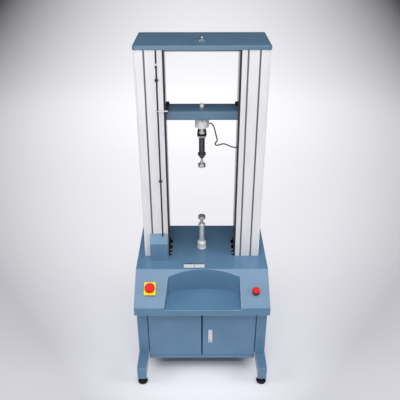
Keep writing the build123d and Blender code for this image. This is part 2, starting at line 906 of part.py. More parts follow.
def cross_beam():
    """The beam that ties the columns together under the top cover."""
    z = (beam_bottom, beam_bottom + crossbeam_thickness)
    half = column_outer - crossbeam_end_gap
    beam = block((-half, half), (crossbeam_inset, column_depth - crossbeam_inset), z)
    bore = top_bearing_diameter / 2 + fit_gap
    for sign in (-1, 1):
        beam = beam - post(bore, sign * screw_x, axis_y, (z[0] - 1, z[0] + top_bore_depth))
    return beam


def top_cover():
    """The folded cap over both columns, with a round boss pressed into it at the lifting point."""
    half = column_outer + top_overhang
    back = column_depth + top_tail
    z = (deck_height + top_height - top_skirt, deck_height + top_height)
    cap = fillet(upright_edges(block((-half, half), (top_front, back), z)), top_corner)
    cap = fillet(cap.faces().sort_by(Axis.Z)[-1].edges(), bend_radius)
    inside = block((-half + sheet, half - sheet), (top_front + sheet, back - sheet), (z[0] - 1, z[1] - sheet))
    boss = post(hoist_boss_diameter / 2, 0, hoist_y, (z[1] - sheet, z[1] + hoist_boss_height))
    boss = fillet(boss.faces().sort_by(Axis.Z)[-1].edges(), hoist_boss_height / 2)
    return cap - fillet(upright_edges(inside), top_corner - sheet) + boss


def hoist_plug():
    """Washer and dome nut that close the lifting point in the top."""
    low = deck_height + top_height + hoist_boss_height
    nut_low = low + hoist_washer_height
    nut_high = nut_low + hoist_nut_height
    washer = post(hoist_washer_diameter / 2, 0, hoist_y, (low, nut_low))
    washer = fillet(washer.faces().sort_by(Axis.Z)[-1].edges(), edge_chamfer)
    hexagon = extrude(Pos(0, hoist_y, nut_low) * RegularPolygon(hoist_nut_width / 2, 6, major_radius=False),
                      hoist_nut_height)
    dome = Pos(0, hoist_y, nut_high) * Sphere(hoist_dome_radius)
    return washer + hexagon + (dome & post(hoist_dome_radius + 1, 0, hoist_y, (nut_high - 1, nut_high + 20)))


def lead_screw(sign):
    """One lead screw with its lower and upper journals."""
    low = pulley_bottom - screw_end_spare
    high = beam_bottom + top_bearing_height + journal_spare
    tip = journal_end_chamfer
    upper_shoulder = beam_bottom - journal_shoulder
    lower_shoulder = bed_bottom + bearing_spigot_height + seat_gap
    bar = screw_diameter / 2
    lower = lower_journal_diameter / 2
    upper = upper_journal_diameter / 2
    outline = [
        (0, low), (lower - tip, low), (lower, low + tip), (lower, lower_shoulder), (bar, lower_shoulder),
        (bar, upper_shoulder), (upper, upper_shoulder), (upper, high), (0, high),
    ]
    return turned(outline, sign * screw_x, axis_y)


def screw_pulley(sign):
    """One flanged belt pulley on a screw's lower journal."""
    root = pulley_diameter / 2
    rim = root + pulley_flange_rise
    bore = lower_journal_diameter / 2 + press_gap
    hub = bore + pulley_hub_wall
    low, high = pulley_bottom, pulley_top
    outline = [
        (bore, low), (rim, low), (rim, low + pulley_flange), (root, low + pulley_flange),
        (root, high - pulley_flange), (rim, high - pulley_flange), (rim, high), (hub, high),
        (hub, high + pulley_hub_height), (bore, high + pulley_hub_height),
    ]
    return turned(outline, sign * screw_x, axis_y)


def motor_pulley():
    """The small flanged pulley on the gearbox shaft."""
    root = motor_pulley_diameter / 2
    rim = root + motor_flange_rise
    bore = motor_shaft_diameter / 2 + press_gap
    low, high = pulley_bottom, pulley_top
    outline = [
        (bore, low), (rim, low), (rim, low + pulley_flange), (root, low + pulley_flange),
        (root, high - pulley_flange), (rim, high - pulley_flange), (rim, high), (bore, high),
    ]
    return turned(outline, 0, motor_y)


def gearbox_shaft():
    """Output shaft of the gearbox, up through the motor plate."""
    z = (motor_plate_bottom - motor_shaft_depth, pulley_top + motor_shaft_spare)
    bar = post(motor_shaft_diameter / 2, 0, motor_y, z)
    return chamfer(bar.edges().filter_by(GeomType.CIRCLE), journal_end_chamfer)


def belt_path(grow):
    """A closed loop round the two screw pulleys and the motor pulley, as a face."""
    big = pulley_diameter / 2 + belt_gap + grow
    small = motor_pulley_diameter / 2 + belt_gap + grow
    spots = ((-screw_x, axis_y, big), (screw_x, axis_y, big), (0, motor_y, small))
    discs = [Pos(x, y) * Circle(r) for x, y, r in spots]
    return make_hull(discs[0].edges() + discs[1].edges() + discs[2].edges())


def drive_belt():
    """The toothed belt that turns both screws together."""
    z = (pulley_bottom + pulley_flange + belt_side_gap, pulley_top - pulley_flange - belt_side_gap)
    band = belt_path(belt_thickness) - belt_path(0)
    return extrude(Pos(0, 0, z[0]) * band, z[1] - z[0])


def motor_bracket():
    """Welded bracket for the motor: a plate hung from the bed on four spacers."""
    half = motor_plate_width / 2
    plate = block((-half, half), (motor_y - half, motor_y + half), (motor_plate_bottom, motor_plate_top))
    plate = chamfer(upright_edges(plate), motor_plate_corner)
    through = (motor_plate_bottom - 1, motor_plate_top + 1)
    plate = plate - post(motor_shaft_diameter / 2 + gearbox_step, 0, motor_y, through)
    reach = half - standoff_inset
    for x in (-reach, reach):
        for y in (motor_y - reach, motor_y + reach):
            plate = plate + post(standoff_diameter / 2, x, y, (motor_plate_top, bed_bottom))
    return plate


def gearbox():
    """Square planetary gearbox under the motor plate."""
    half = gearbox_width / 2
    step = half - gearbox_step
    z = (motor_plate_bottom - gearbox_height, motor_plate_bottom)
    flange_low = z[1] - gearbox_flange_height
    flange = block((-half, half), (motor_y - half, motor_y + half), (flange_low, z[1]))
    flange = fillet(upright_edges(flange), gearbox_corner)
    body = post(step, 0, motor_y, (z[0], flange_low))
    base = block((-step, step), (motor_y - step, motor_y + step), (z[0], z[0] + gearbox_base_height))
    depth = motor_shaft_depth + motor_shaft_spare
    bore = post(motor_shaft_diameter / 2 + running_gap, 0, motor_y, (z[1] - depth, z[1] + 1))
    return flange + body + base - bore


def servo_motor():
    """Finned servo motor with its two plug sockets."""
    half = motor_width / 2
    top = motor_plate_bottom - gearbox_height
    z = (top - motor_height, top)
    body = block((-half, half), (motor_y - half, motor_y + half), z)
    body = fillet(upright_edges(body), motor_corner)
    root = half - fin_depth
    for step in range(fin_count):
        low = z[0] + fin_start + fin_pitch * step
        cut = block((-half - 1, half + 1), (motor_y - half - 1, motor_y + half + 1), (low, low + fin_gap))
        core = block((-root, root), (motor_y - root, motor_y + root), (low - 1, low + fin_gap + 1))
        body = body - (cut - core)
    for x in (-plug_socket_spread, plug_socket_spread):
        spot = Pos(x, motor_y - half, z[0] + plug_socket_level)
        body = body + spot * Rot(90, 0, 0) * Cylinder(plug_socket_radius, 2 * plug_socket_length)
    return body


def case_on_back(size, side):
    """A slotted electronics case on the cabinet's back wall, to the left or the right."""
    width, depth, height = size
    x = side * (leg_inner - sheet - case_side_gap - width / 2)
    back = cabinet_back - sheet
    front = back - depth
    low = rail_top + sheet + case_level
    case = block((x - width / 2, x + width / 2), (front, back), (low, low + height))
    case = fillet(case.faces().sort_by(Axis.Y)[0].edges(), case_corner)
    slot_top = low + height - case_slot_drop
    for step in range(case_slot_count):
        middle = x + (step - (case_slot_count - 1) / 2) * case_slot_pitch
        slot_x = (middle - case_slot_width / 2, middle + case_slot_width / 2)
        slot_z = (slot_top - case_slot_height, slot_top)
        case = case - block(slot_x, (front - 1, front + case_slot_depth), slot_z)
    return case


def electronics_cases():
    """The motor's drive and the controller."""
    return Compound([case_on_back(drive_case_size, -1), case_on_back(control_case_size, 1)])


def crosshead_beam():
    """The moving beam, with bores for the nuts and guide bushes."""
    half = column_outer - crosshead_end_gap
    beam = block((-half, half), (crosshead_front, crosshead_back), (crosshead_low, crosshead_top))
    beam = fillet(beam.edges().filter_by(Axis.X), crosshead_edge_radius)
    span = (crosshead_low - 1, crosshead_top + 1)
    for sign in (-1, 1):
        beam = beam - post(nut_diameter / 2 + fit_gap, sign * screw_x, axis_y, span)
        beam = beam - post(bush_diameter / 2 + fit_gap, sign * guide_x, axis_y, span)
    return beam


def lead_screw_nuts():
    """Both lead-screw nuts, flanged to the beam's underside."""
    low = crosshead_low - nut_flange_height
    high = crosshead_top + nut_proud
    body = post(nut_diameter / 2, screw_x, axis_y, (crosshead_low, high))
    flange = post(nut_flange_diameter / 2, screw_x, axis_y, (low, crosshead_low))
    reach = nut_flange_diameter / 2 + 1
    flat_x = (screw_x + nut_flange_flat, screw_x + reach)
    flat = block(flat_x, (axis_y - reach, axis_y + reach), (low, crosshead_low))
    bore = post(screw_diameter / 2 + running_gap, screw_x, axis_y, (low - 1, high + 1))
    return pair(body + flange - flat - bore)


def guide_bushes():
    """Both guide bushes, proud of the beam above and below."""
    z = (crosshead_low - bush_overhang, crosshead_top + bush_overhang)
    inner = guide_diameter / 2 + running_gap
    return Compound([ring(bush_diameter / 2, inner, s * guide_x, axis_y, z) for s in (-1, 1)])


def arm_end():
    """The X where the left end block, its post and the trip arm end."""
    return -(column_inner - left_block_gap - end_block_width)


def end_blocks():
    """Black blocks on the crosshead's ends. The left one reaches forward to hold the trip arm."""
    right_edge = arm_end()
    back = crosshead_back - end_block_back_gap
    z = (crosshead_top, crosshead_top + end_block_height)
    arm_back = rod_y + trip_depth / 2
    left = block((right_edge - end_block_width, right_edge), (arm_back + arm_post_depth, back), z)
    nose_x = (right_edge - arm_post_width, right_edge)
    nose = block(nose_x, (arm_back, arm_back + arm_post_depth + 1), z)
    stand = block(nose_x, (arm_back, arm_back + arm_post_depth / 2), (z[0], z[0] + arm_post_height))
    right = block((column_inner - end_block_width, column_inner), (back - right_block_length, back), z)
    return [left + nose + stand, right]


def trip_arm():
    """The flat arm that rides along the limit rod and pushes its collars."""
    z = (deck_height + trip_level - trip_thickness / 2, deck_height + trip_level + trip_thickness / 2)
    arm = block((rod_x - trip_reach, arm_end()), (rod_y - trip_depth / 2, rod_y + trip_depth / 2), z)
    arm = fillet(upright_edges(arm), trip_corner)
    return arm - post(rod_hole_diameter / 2, rod_x, rod_y, (z[0] - 1, z[1] + 1))


def crosshead_stud():
    """Washer and domed nut of the stud that holds the load cell from above."""
    washer = stud_washer_diameter / 2
    nut = stud_nut_diameter / 2
    stud = stud_diameter / 2
    low = crosshead_top
    step = low + stud_washer_height
    nut_top = step + stud_nut_height
    top = low + stud_height
    outline = [
        (0, low), (washer, low), (washer, step - edge_chamfer), (washer - edge_chamfer, step), (nut, step),
        (nut, nut_top), (stud, nut_top + 2), (stud, top - 5), (stud * 0.8, top - 2), (stud * 0.4, top),
        (0, top),
    ]
    return turned(outline, 0, axis_y)


def load_cell():
    """Round low-profile load cell with its cable gland on the right."""
    top = crosshead_low
    low = top - cell_height
    boss = cell_boss_diameter / 2
    body = cell_diameter / 2
    neck = cell_neck_diameter / 2
    disc = disc_diameter / 2
    disc_low = deck_height + cup_bottom + cup_floor
    disc_high = disc_low + disc_height
    outline = [
        (0, top), (boss, top), (boss, top - cell_boss_height), (body, top - cell_boss_height),
        (body, low), (neck, low), (neck + cell_neck_flare, disc_high), (disc, disc_high - edge_chamfer),
        (disc, disc_low), (0, disc_low),
    ]
    cell = turned(outline, 0, axis_y)
    rims = cell.edges().filter_by(GeomType.CIRCLE).filter_by(lambda e: abs(e.radius - body) < 0.01)
    cell = fillet(rims.sort_by(Axis.Z)[0], cell_round)
    cell = fillet(rims.sort_by(Axis.Z)[-1], cell_top_round)
    spot = Pos(body - gland_root, axis_y, deck_height + gland_level)
    gland = Cylinder(gland_radius, gland_length + gland_root, align=(Align.CENTER, Align.CENTER, Align.MIN))
    return cell + spot * Rot(0, 90, 0) * gland


def upper_cup():
    """The slotted cup, or clevis: the load cell's lower disc slides into it from the front."""
    outer = cup_diameter / 2
    top = deck_height + cup_top
    low = deck_height + cup_bottom
    bore = disc_diameter / 2 + fit_gap
    floor = low + cup_floor
    outline = [
        (0, low), (outer - edge_chamfer, low), (outer, low + edge_chamfer), (outer, floor - 2),
        (bore + cup_wall, top), (bore, top), (bore, floor), (0, floor),
    ]
    cup = turned(outline, 0, axis_y)
    half = cup_slot / 2
    lip = floor + disc_height + cup_mouth_gap
    neck_slot = block((-half, half), (axis_y - outer - 1, axis_y + outer + 1), (lip, top + 1))
    mouth = block((-bore, bore), (axis_y - outer - 1, axis_y), (floor, lip))
    return cup - neck_slot - mouth


def upper_ring():
    """Knurled lock ring below the cup."""
    high = deck_height + cup_bottom
    low = high - upper_ring_height
    outer = cup_diameter / 2 - edge_chamfer
    edge = edge_chamfer
    inner = upper_shaft_diameter / 2 + fit_gap
    outline = [
        (inner, low), (outer - edge, low), (outer, low + edge), (outer, high - edge), (outer - edge, high),
        (inner, high),
    ]
    return turned(outline, 0, axis_y)


def upper_spindle():
    """Blued pull rod with a flare and taper at its lower end."""
    top = deck_height + cup_bottom
    shaft = upper_shaft_diameter / 2
    flare = flare_diameter / 2
    stem = stem_diameter / 2 + edge_chamfer
    high = deck_height + flare_top
    low = deck_height + flare_bottom
    tip = deck_height + taper_bottom
    outline = [
        (0, top), (shaft, top), (shaft, high), (flare, high - flare_edge), (flare, low + flare_edge),
        (flare - flare_edge, low), (stem + flare_edge, tip + 2), (stem, tip), (0, tip),
    ]
    return turned(outline, 0, axis_y)


def upper_platen():
    """Upper pressure foot: a slim stem with a collar and a round plate."""
    stem = stem_diameter / 2
    plate = plate_diameter / 2
    top = deck_height + taper_bottom
    high = deck_height + upper_plate_top
    low = deck_height + upper_plate_bottom
    slim = stem - stem_step
    step = top - stem_spigot_length
    hub = stem + hub_step
    edge = edge_chamfer
    outline = [
        (0, top), (slim, top), (slim, step), (stem, step - stem_step), (stem, high + hub_height),
        (hub, high + hub_height - 3), (hub, high), (plate - edge, high), (plate, high - edge),
        (plate, low + edge), (plate - edge, low), (0, low),
    ]
    return turned(outline, 0, axis_y)


def lower_platen():
    """Lower pressure plate on its slim neck."""
    neck = lower_neck_diameter / 2
    plate = plate_diameter / 2
    top = deck_height + lower_plate_top
    low = top - lower_plate_thickness
    foot = deck_height + shoulder_top
    edge = edge_chamfer
    outline = [
        (0, foot), (neck, foot), (neck, low - neck_flare), (neck + neck_flare, low), (plate - edge, low),
        (plate, low + edge), (plate, top - edge), (plate - edge, top), (0, top),
    ]
    return turned(outline, 0, axis_y)


def lower_spindle():
    """Bright lower post with its shoulder."""
    shaft = lower_shaft_diameter / 2
    shoulder = shoulder_diameter / 2
    low = deck_height + lower_base_height
    mid = deck_height + shoulder_bottom
    top = deck_height + shoulder_top
    outline = [
        (0, low), (shaft, low), (shaft, mid - 3), (shoulder - edge_chamfer, mid), (shoulder, mid + 2),
        (shoulder, top - shoulder_bevel), (shoulder - shoulder_bevel, top), (0, top),
    ]
    return turned(outline, 0, axis_y)


def lower_lock_ring():
    """Round lock nut round the lower post, with a hole for a hook spanner."""
    outer = lock_ring_diameter / 2
    inner = lower_shaft_diameter / 2 + fit_gap
    low = deck_height + lower_base_height
    top = deck_height + lock_ring_top
    bevel = lock_ring_bevel
    outline = [
        (inner, low), (outer - edge_chamfer, low), (outer, low + edge_chamfer), (outer, top - bevel),
        (outer - 0.6 * bevel, top - 0.4 * bevel), (outer - bevel, top), (inner, top),
    ]
    hole = Pos(0, axis_y - outer, (low + top - bevel) / 2) * Rot(90, 0, 0)
    return turned(outline, 0, axis_y) - hole * Cylinder(spanner_hole_radius, 2 * spanner_hole_depth)


def lower_base():
    """Base disc of the lower fixture, with the stud that holds it in the bed."""
    base = lower_base_diameter / 2
    stud = bed_stud_diameter / 2
    low = deck_height - bed_stud_length
    top = deck_height + lower_base_height
    outline = [
        (0, low), (stud - edge_chamfer, low), (stud, low + edge_chamfer), (stud, deck_height),
        (base, deck_height), (base, top - lower_base_bevel), (base - lower_base_bevel, top), (0, top),
    ]
    return turned(outline, 0, axis_y)


def limit_rod():
    """The limit rod with its two stop collars and the cam at its foot."""
    low = deck_height + rod_bottom
    rod = post(rod_diameter / 2, rod_x, rod_y, (low, deck_height + top_height - top_skirt - rod_top_gap))
    for level in (top_height - upper_collar_drop, lower_collar_level):
        z = (deck_height + level - collar_height / 2, deck_height + level + collar_height / 2)
        collar = post(collar_diameter / 2, rod_x, rod_y, z)
        rod = rod + chamfer(collar.edges().filter_by(GeomType.CIRCLE), collar_bevel)
    collar_top = guide_span()[0] - rod_travel - seat_gap
    rod = rod + post(guide_collar_diameter / 2, rod_x, rod_y, (collar_top - guide_collar_height, collar_top))
    return rod + post(cam_radius, rod_x, rod_y, (low, low + cam_height))


def guide_span():
    """Low and high Z of the rod's guide."""
    level = deck_height + top_height - guide_block_drop
    return (level - guide_block_height / 2, level + guide_block_height / 2)


def rod_guide():
    """Small block on the column that guides the limit rod's upper end."""
    half = guide_block_width / 2
    z = guide_span()
    body = post(half, rod_x, rod_y, z) + block((rod_x - half, rod_x + half), (rod_y, 0), z)
    return body - post(rod_diameter / 2 + running_gap, rod_x, rod_y, (z[0] - 1, z[1] + 1))


def switch_box():
    """Sheet box at the left column's foot, with a sloping top that the limit rod enters."""
    low = deck_height
    high = low + box_back_height
    slope = (box_back_height - box_front_height) / box_depth
    outline = Plane.YZ * make_face(Polyline(
        (-box_depth, low), (-box_depth, low + box_front_height), (0, high), (0, low), close=True))
    body = extrude(Pos(box_left, 0, 0) * outline, box_right - box_left)
    front = body.edges().filter_by(Axis.X).sort_by(Axis.Y)[:2].sort_by(Axis.Z)[-1]
    body = fillet(front, box_edge_radius)
    under = sheet * sqrt(1 + slope**2)
    inner_front = low + box_front_height + slope * sheet - under
    inner = Plane.YZ * make_face(Polyline(
        (-box_depth + sheet, low + sheet), (-box_depth + sheet, inner_front), (1, high + slope - under),
        (1, low + sheet), close=True))
    hollow = extrude(Pos(box_left + sheet, 0, 0) * inner, box_right - box_left - 2 * sheet)
    hole = post(rod_diameter / 2 + box_hole_gap, rod_x, rod_y, (low + box_front_height, high + 1))
    return body - hollow - hole


def limit_switches():
    """Two snap switches on a small rail inside the switch box, one each side of the rod's cam."""
    width, depth, height = switch_body_size
    gap = switch_body_gap
    middle = deck_height + rod_bottom + cam_height / 2
    y = (-depth - gap, -gap)
    z = (middle - height, middle + height / 2)
    left_x = (rod_x - cam_radius - gap - width, rod_x - cam_radius - gap)
    right_x = (rod_x + cam_radius + gap, box_right - sheet - gap)
    foot = block((left_x[0], right_x[1]), y, (deck_height + sheet, z[0]))
    return foot + block(left_x, y, z) + block(right_x, y, z)


def main_switch_block():
    """Yellow base of the main switch, flat on the sloping panel."""
    plane = on_panel(switch_x, switch_slope)
    body = extrude(plane * Rectangle(switch_width, switch_length), switch_height)
    normal = plane.z_dir
    corners = [e for e in body.edges() if abs(abs(e.tangent_at(0).dot(normal)) - 1) < 1e-6]
    body = fillet(corners, switch_corner)
    bore = Cylinder(knob_spindle_radius + running_gap, 2 * (switch_height - switch_floor))
    return body - plane * Pos(0, 0, switch_height) * bore


def main_switch_knob():
    """Red rotary knob with a raised grip bar and a spindle in the yellow base."""
    radius = knob_diameter / 2
    low = switch_height + seat_gap
    high = switch_height + knob_height
    disc = high - grip_height
    foot = low - knob_spindle_depth
    face = make_face(Polyline(
        (0, 0, foot), (knob_spindle_radius, 0, foot), (knob_spindle_radius, 0, low), (radius - 2, 0, low),
        (radius, 0, low + 2), (radius, 0, disc - 4), (radius - 4, 0, disc), (0, 0, disc), close=True))
    knob = revolve(face, Axis.Z)
    grip = Pos(0, 0, high - grip_height / 2 - 1) * Box(grip_width, 2 * (radius - grip_inset), grip_height + 2)
    grip = fillet(grip.faces().sort_by(Axis.Z)[-1].edges(), 3)
    return on_panel(switch_x, switch_slope) * (knob + grip)


def main_switch_body():
    """Contact block of the main switch behind the panel."""
    depth = switch_block_size[2]
    return on_panel(switch_x, switch_slope) * Pos(0, 0, -sheet - depth / 2) * Box(*switch_block_size)


def stop_collar():
    """Black collar round the stop button."""
    outer = stop_collar_diameter / 2
    inner = stop_stem_radius + running_gap
    face = make_face(Polyline(
        (inner, 0, 0), (outer, 0, 0), (outer, 0, stop_collar_height - 3), (outer - 3, 0, stop_collar_height),
        (inner, 0, stop_collar_height), close=True))
    return on_panel(stop_x, stop_slope) * revolve(face, Axis.Z)


def stop_body():
    """Contact block of the stop button behind the panel."""
    plane = on_panel(stop_x, stop_slope)
    body = plane * Pos(0, 0, -sheet - stop_block_size[2] / 2) * Box(*stop_block_size)
    well = Cylinder(stop_stem_radius + stop_travel_spare, 2 * (stop_travel + stop_travel_spare))
    return body - plane * Pos(0, 0, -sheet) * well


def stop_head_low():
    """Height of the stop button's head above the panel."""
    return stop_collar_height + stop_travel + stop_travel_spare


def stop_plunger():
    """The stem that the stop button pushes in."""
    high = stop_head_low()
    stem = Pos(0, 0, high / 2) * Cylinder(stop_stem_radius, high)
    pin = Pos(0, 0, high + stop_pin_length / 2) * Cylinder(stop_pin_radius, stop_pin_length)
    return on_panel(stop_x, stop_slope) * (stem + pin)


def stop_head():
    """Red mushroom head, turned to release it."""
    outer = stop_head_diameter / 2
    low = stop_head_low() + seat_gap
    high = low + stop_head_height
    bore = stop_pin_radius + running_gap
    roof = low + stop_pin_length + seat_gap
    side = Polyline((0, 0, roof), (bore, 0, roof), (bore, 0, low), (outer - 1, 0, low), (outer, 0, low + 1),
                    (outer, 0, high - 6))
    crown = ThreePointArc((outer, 0, high - 6), (outer - 5, 0, high - 1.4), (outer - 13, 0, high))
    top = Polyline((outer - 13, 0, high), (0, 0, high), (0, 0, roof))
    return on_panel(stop_x, stop_slope) * revolve(make_face([side, crown, top]), Axis.Z)


def cable_points():
    """The cable's route from the gland to the clip in the right column, as chosen by hand."""
    start = (cell_diameter / 2 + gland_length, axis_y, deck_height + gland_level)
    middle = [(x, y, deck_height + z) for x, y, z in cable_route]
    last = cable_route[-1]
    end = (cable_hanger_x, last[1], deck_height + last[2])
    return [Vector(*p) for p in [start] + middle + [end]]


def cable_radii(points):
    """Each corner's radius: 0.45 of its shorter run, divided by the tangent of half the turn."""
    radii = []
    for before, corner, after in zip(points, points[1:], points[2:]):
        run_in = corner - before
        run_out = after - corner
        turn = radians(run_in.get_angle(run_out))
        radii.append(0.45 * min(run_in.length, run_out.length) / tan(turn / 2))
    return radii


def load_cell_cable():
    """The load cell's cable: straight runs joined by arcs, swept with a round section."""
    points = cable_points()
    radii = cable_radii(points)
    path = FilletPolyline(*points, radius=radii)
    section = Plane(origin=points[0], z_dir=path % 0) * Circle(cable_diameter / 2)
    tube = sweep(section, path=path)
    length = sum(e.length for e in path.edges())
    ideal = length * pi * (cable_diameter / 2) ** 2
    print("cable radii", [round(r, 1) for r in radii])
    print("cable length", round(length, 1), "volume ratio", round(tube.volume / ideal, 5))
    return tube


def cable_hanger():
    """Strip hung from the crosshead inside the right column, which holds the cable's end."""
    x = (cable_hanger_x, cable_hanger_x + cable_hanger_thickness)
    y = (axis_y - cable_hanger_width / 2, axis_y + cable_hanger_width / 2)
    return block(x, y, (deck_height + cable_hanger_bottom, crosshead_low))


def pair(piece):
    """A right-hand piece and its mirror image as one group of separate solids."""
    return Compound([piece, mirrored(piece)])


def pieces():
    """Every node by name."""
    return {
        "foot_beams": pair(foot_beam()),
        "levelling_pads": levelling_pads(),
        "levelling_studs": levelling_studs(),
        "leg_frames": pair(leg_frame()),
        "side_panels": pair(side_panel()),
        "cabinet_shell": cabinet_shell(),
        "cabinet_rails": Compound([bottom_rail(), header_rail()]),
        "door_hinge_pins": door_hinge_pins(),
        "right_door": right_door(),
        "left_door": mirrored(door_pan()),
        "latch_case": latch_case(),
        "latch_lever": latch_lever(),
        "deck_housing": deck_housing(),
        "machine_bed": machine_bed(),
        "bed_supports": pair(bed_support()),
        "right_column_cover": column_cover(),
        "left_column_cover": mirrored(column_cover()),
        "inner_covers": pair(inner_cover()),
        "seal_strips": pair(seal_strip()),
        "foot_angles": pair(foot_angle()),
        "foot_screws": foot_screws(),
        "guide_columns": pair(guide_column()),
        "screw_bearings": Compound(screw_bearings() + top_bearings()),
        "cross_beam": cross_beam(),
        "top_cover": top_cover(),
        "hoist_plug": hoist_plug(),
        "left_lead_screw": lead_screw(-1),
        "right_lead_screw": lead_screw(1),
        "left_screw_pulley": screw_pulley(-1),
        "right_screw_pulley": screw_pulley(1),
        "motor_pulley": motor_pulley(),
        "gearbox_shaft": gearbox_shaft(),
        "drive_belt": drive_belt(),
        "motor_bracket": motor_bracket(),
        "geared_motor": Compound([gearbox(), servo_motor()]),
        "electronics_cases": electronics_cases(),
        "crosshead_beam": crosshead_beam(),
        "lead_screw_nuts": lead_screw_nuts(),
        "guide_bushes": guide_bushes(),
        "end_brackets": Compound(end_blocks() + [cable_hanger()]),
        "trip_arm": trip_arm(),
        "crosshead_stud": crosshead_stud(),
        "load_cell": load_cell(),
        "load_cell_cable": load_cell_cable(),
        "upper_clevis": upper_cup(),
        "upper_lock_ring": upper_ring(),
        "upper_spindle": upper_spindle(),
        "upper_platen": upper_platen(),
        "lower_platen": lower_platen(),
        "lower_spindle": lower_spindle(),
        "lower_fixture_base": Compound([lower_base(), lower_lock_ring()]),
        "limit_rod": limit_rod(),
        "switch_box": switch_box(),
        "rod_guide": rod_guide(),
        "switch_bodies": Compound([main_switch_body(), stop_body(), limit_switches()]),
        "main_switch_base": main_switch_block(),
        "main_switch_knob": main_switch_knob(),
        "stop_collar": stop_collar(),
        "stop_plunger": stop_plunger(),
        "stop_head": stop_head(),
    }


os.makedirs("parts", exist_ok=True)
for name, piece in pieces().items():
    export_step(piece, f"parts/{name}.step")
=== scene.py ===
from math import cos, pi, radians, sin

import bpy
import numpy as np
from mathutils import Matrix, Vector


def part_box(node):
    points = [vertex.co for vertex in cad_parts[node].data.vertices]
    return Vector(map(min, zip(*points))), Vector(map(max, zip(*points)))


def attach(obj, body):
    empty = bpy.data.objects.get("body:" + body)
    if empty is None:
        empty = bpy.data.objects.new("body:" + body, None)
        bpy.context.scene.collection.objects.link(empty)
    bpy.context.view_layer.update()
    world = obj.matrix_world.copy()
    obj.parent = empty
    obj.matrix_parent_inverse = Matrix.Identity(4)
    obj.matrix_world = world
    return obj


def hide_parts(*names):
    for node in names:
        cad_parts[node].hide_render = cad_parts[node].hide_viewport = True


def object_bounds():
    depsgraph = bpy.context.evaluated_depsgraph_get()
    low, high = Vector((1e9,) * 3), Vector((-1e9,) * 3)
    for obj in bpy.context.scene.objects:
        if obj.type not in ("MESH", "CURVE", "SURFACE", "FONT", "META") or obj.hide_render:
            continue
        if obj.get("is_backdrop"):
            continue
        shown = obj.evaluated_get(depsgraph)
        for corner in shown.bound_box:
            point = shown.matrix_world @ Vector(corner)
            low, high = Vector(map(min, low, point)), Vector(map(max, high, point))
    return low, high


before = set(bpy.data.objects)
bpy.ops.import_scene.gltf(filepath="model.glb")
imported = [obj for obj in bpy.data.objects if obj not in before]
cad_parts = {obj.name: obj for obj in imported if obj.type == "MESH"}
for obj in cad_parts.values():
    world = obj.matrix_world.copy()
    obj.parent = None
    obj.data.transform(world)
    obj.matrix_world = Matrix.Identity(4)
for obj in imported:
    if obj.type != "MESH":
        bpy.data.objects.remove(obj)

cad_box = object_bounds()

MM = 0.001  # a millimetre in metres

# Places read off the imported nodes, in metres
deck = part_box("deck_housing")[1][2]
load_axis_y = sum(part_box("lower_spindle")[i][1] for i in (0, 1)) / 2
column_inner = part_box("right_column_cover")[0][0]
crosshead_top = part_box("crosshead_beam")[1][2]


def linear(hexed):
    """An sRGB hex colour as linear red, green, blue and alpha."""
    channels = [int(hexed[i:i + 2], 16) / 255 for i in (0, 2, 4)]
    straight = [c / 12.92 if c <= 0.04045 else ((c + 0.055) / 1.055) ** 2.4 for c in channels]
    return straight + [1.0]


def per_mm(period):
    """The noise scale, per metre, whose features are about this many millimetres across."""
    return 1.0 / (period * MM)


# Shader building

middle_half = {"From Min": 0.25, "From Max": 0.75}  # of a noise value, where nearly all of it lies


def add(tree, kind, links=None, give=None, **settings):
    """Adds one shader node with its settings. links maps an input, by its name or number, to a value or
    to another node's output. Returns the output called give, or else the node."""
    made = tree.nodes.new(kind)
    for field, value in settings.items():
        setattr(made, field, value)
    for wanted, value in (links or {}).items():
        socket = next(s for i, s in enumerate(made.inputs) if s.enabled and wanted in (i, s.name))
        if isinstance(value, bpy.types.NodeSocket):
            tree.links.new(value, socket)
        else:
            socket.default_value = value
    return next(s for s in made.outputs if s.enabled and s.name == give) if give else made


def start_material(name):
    """An empty material, its node tree and its piece's Object coordinates."""
    made = bpy.data.materials.new(name)
    made.use_nodes = True
    made.node_tree.nodes.clear()
    return made, made.node_tree, add(made.node_tree, "ShaderNodeTexCoord", give="Object")


def end_material(made, **inputs):
    """Gives a material its surface shader, whose inputs are named with underscores for spaces."""
    links = {name.replace("_", " "): value for name, value in inputs.items()}
    surface = add(made.node_tree, "ShaderNodeBsdfPrincipled", links, "BSDF")
    add(made.node_tree, "ShaderNodeOutputMaterial", {"Surface": surface})
    return made


def two_tones(tree, value, dark, light):
    """A colour that goes from one hex tone to another over the middle half of a noise value."""
    share = add(tree, "ShaderNodeMapRange", {"Value": value, **middle_half}, "Result")
    tones = {"Factor": share, "A": linear(dark), "B": linear(light)}
    return add(tree, "ShaderNodeMix", tones, "Result", data_type="RGBA")


def relief(tree, height, depth_mm, edge_mm):
    """A bump of this depth over edges that are rounded by this radius."""
    edge = add(tree, "ShaderNodeBevel", {"Radius": edge_mm * MM}, "Normal", samples=4)
    links = {"Height": height, "Distance": depth_mm * MM, "Normal": edge}
    return add(tree, "ShaderNodeBump", links, "Normal")


# Materials

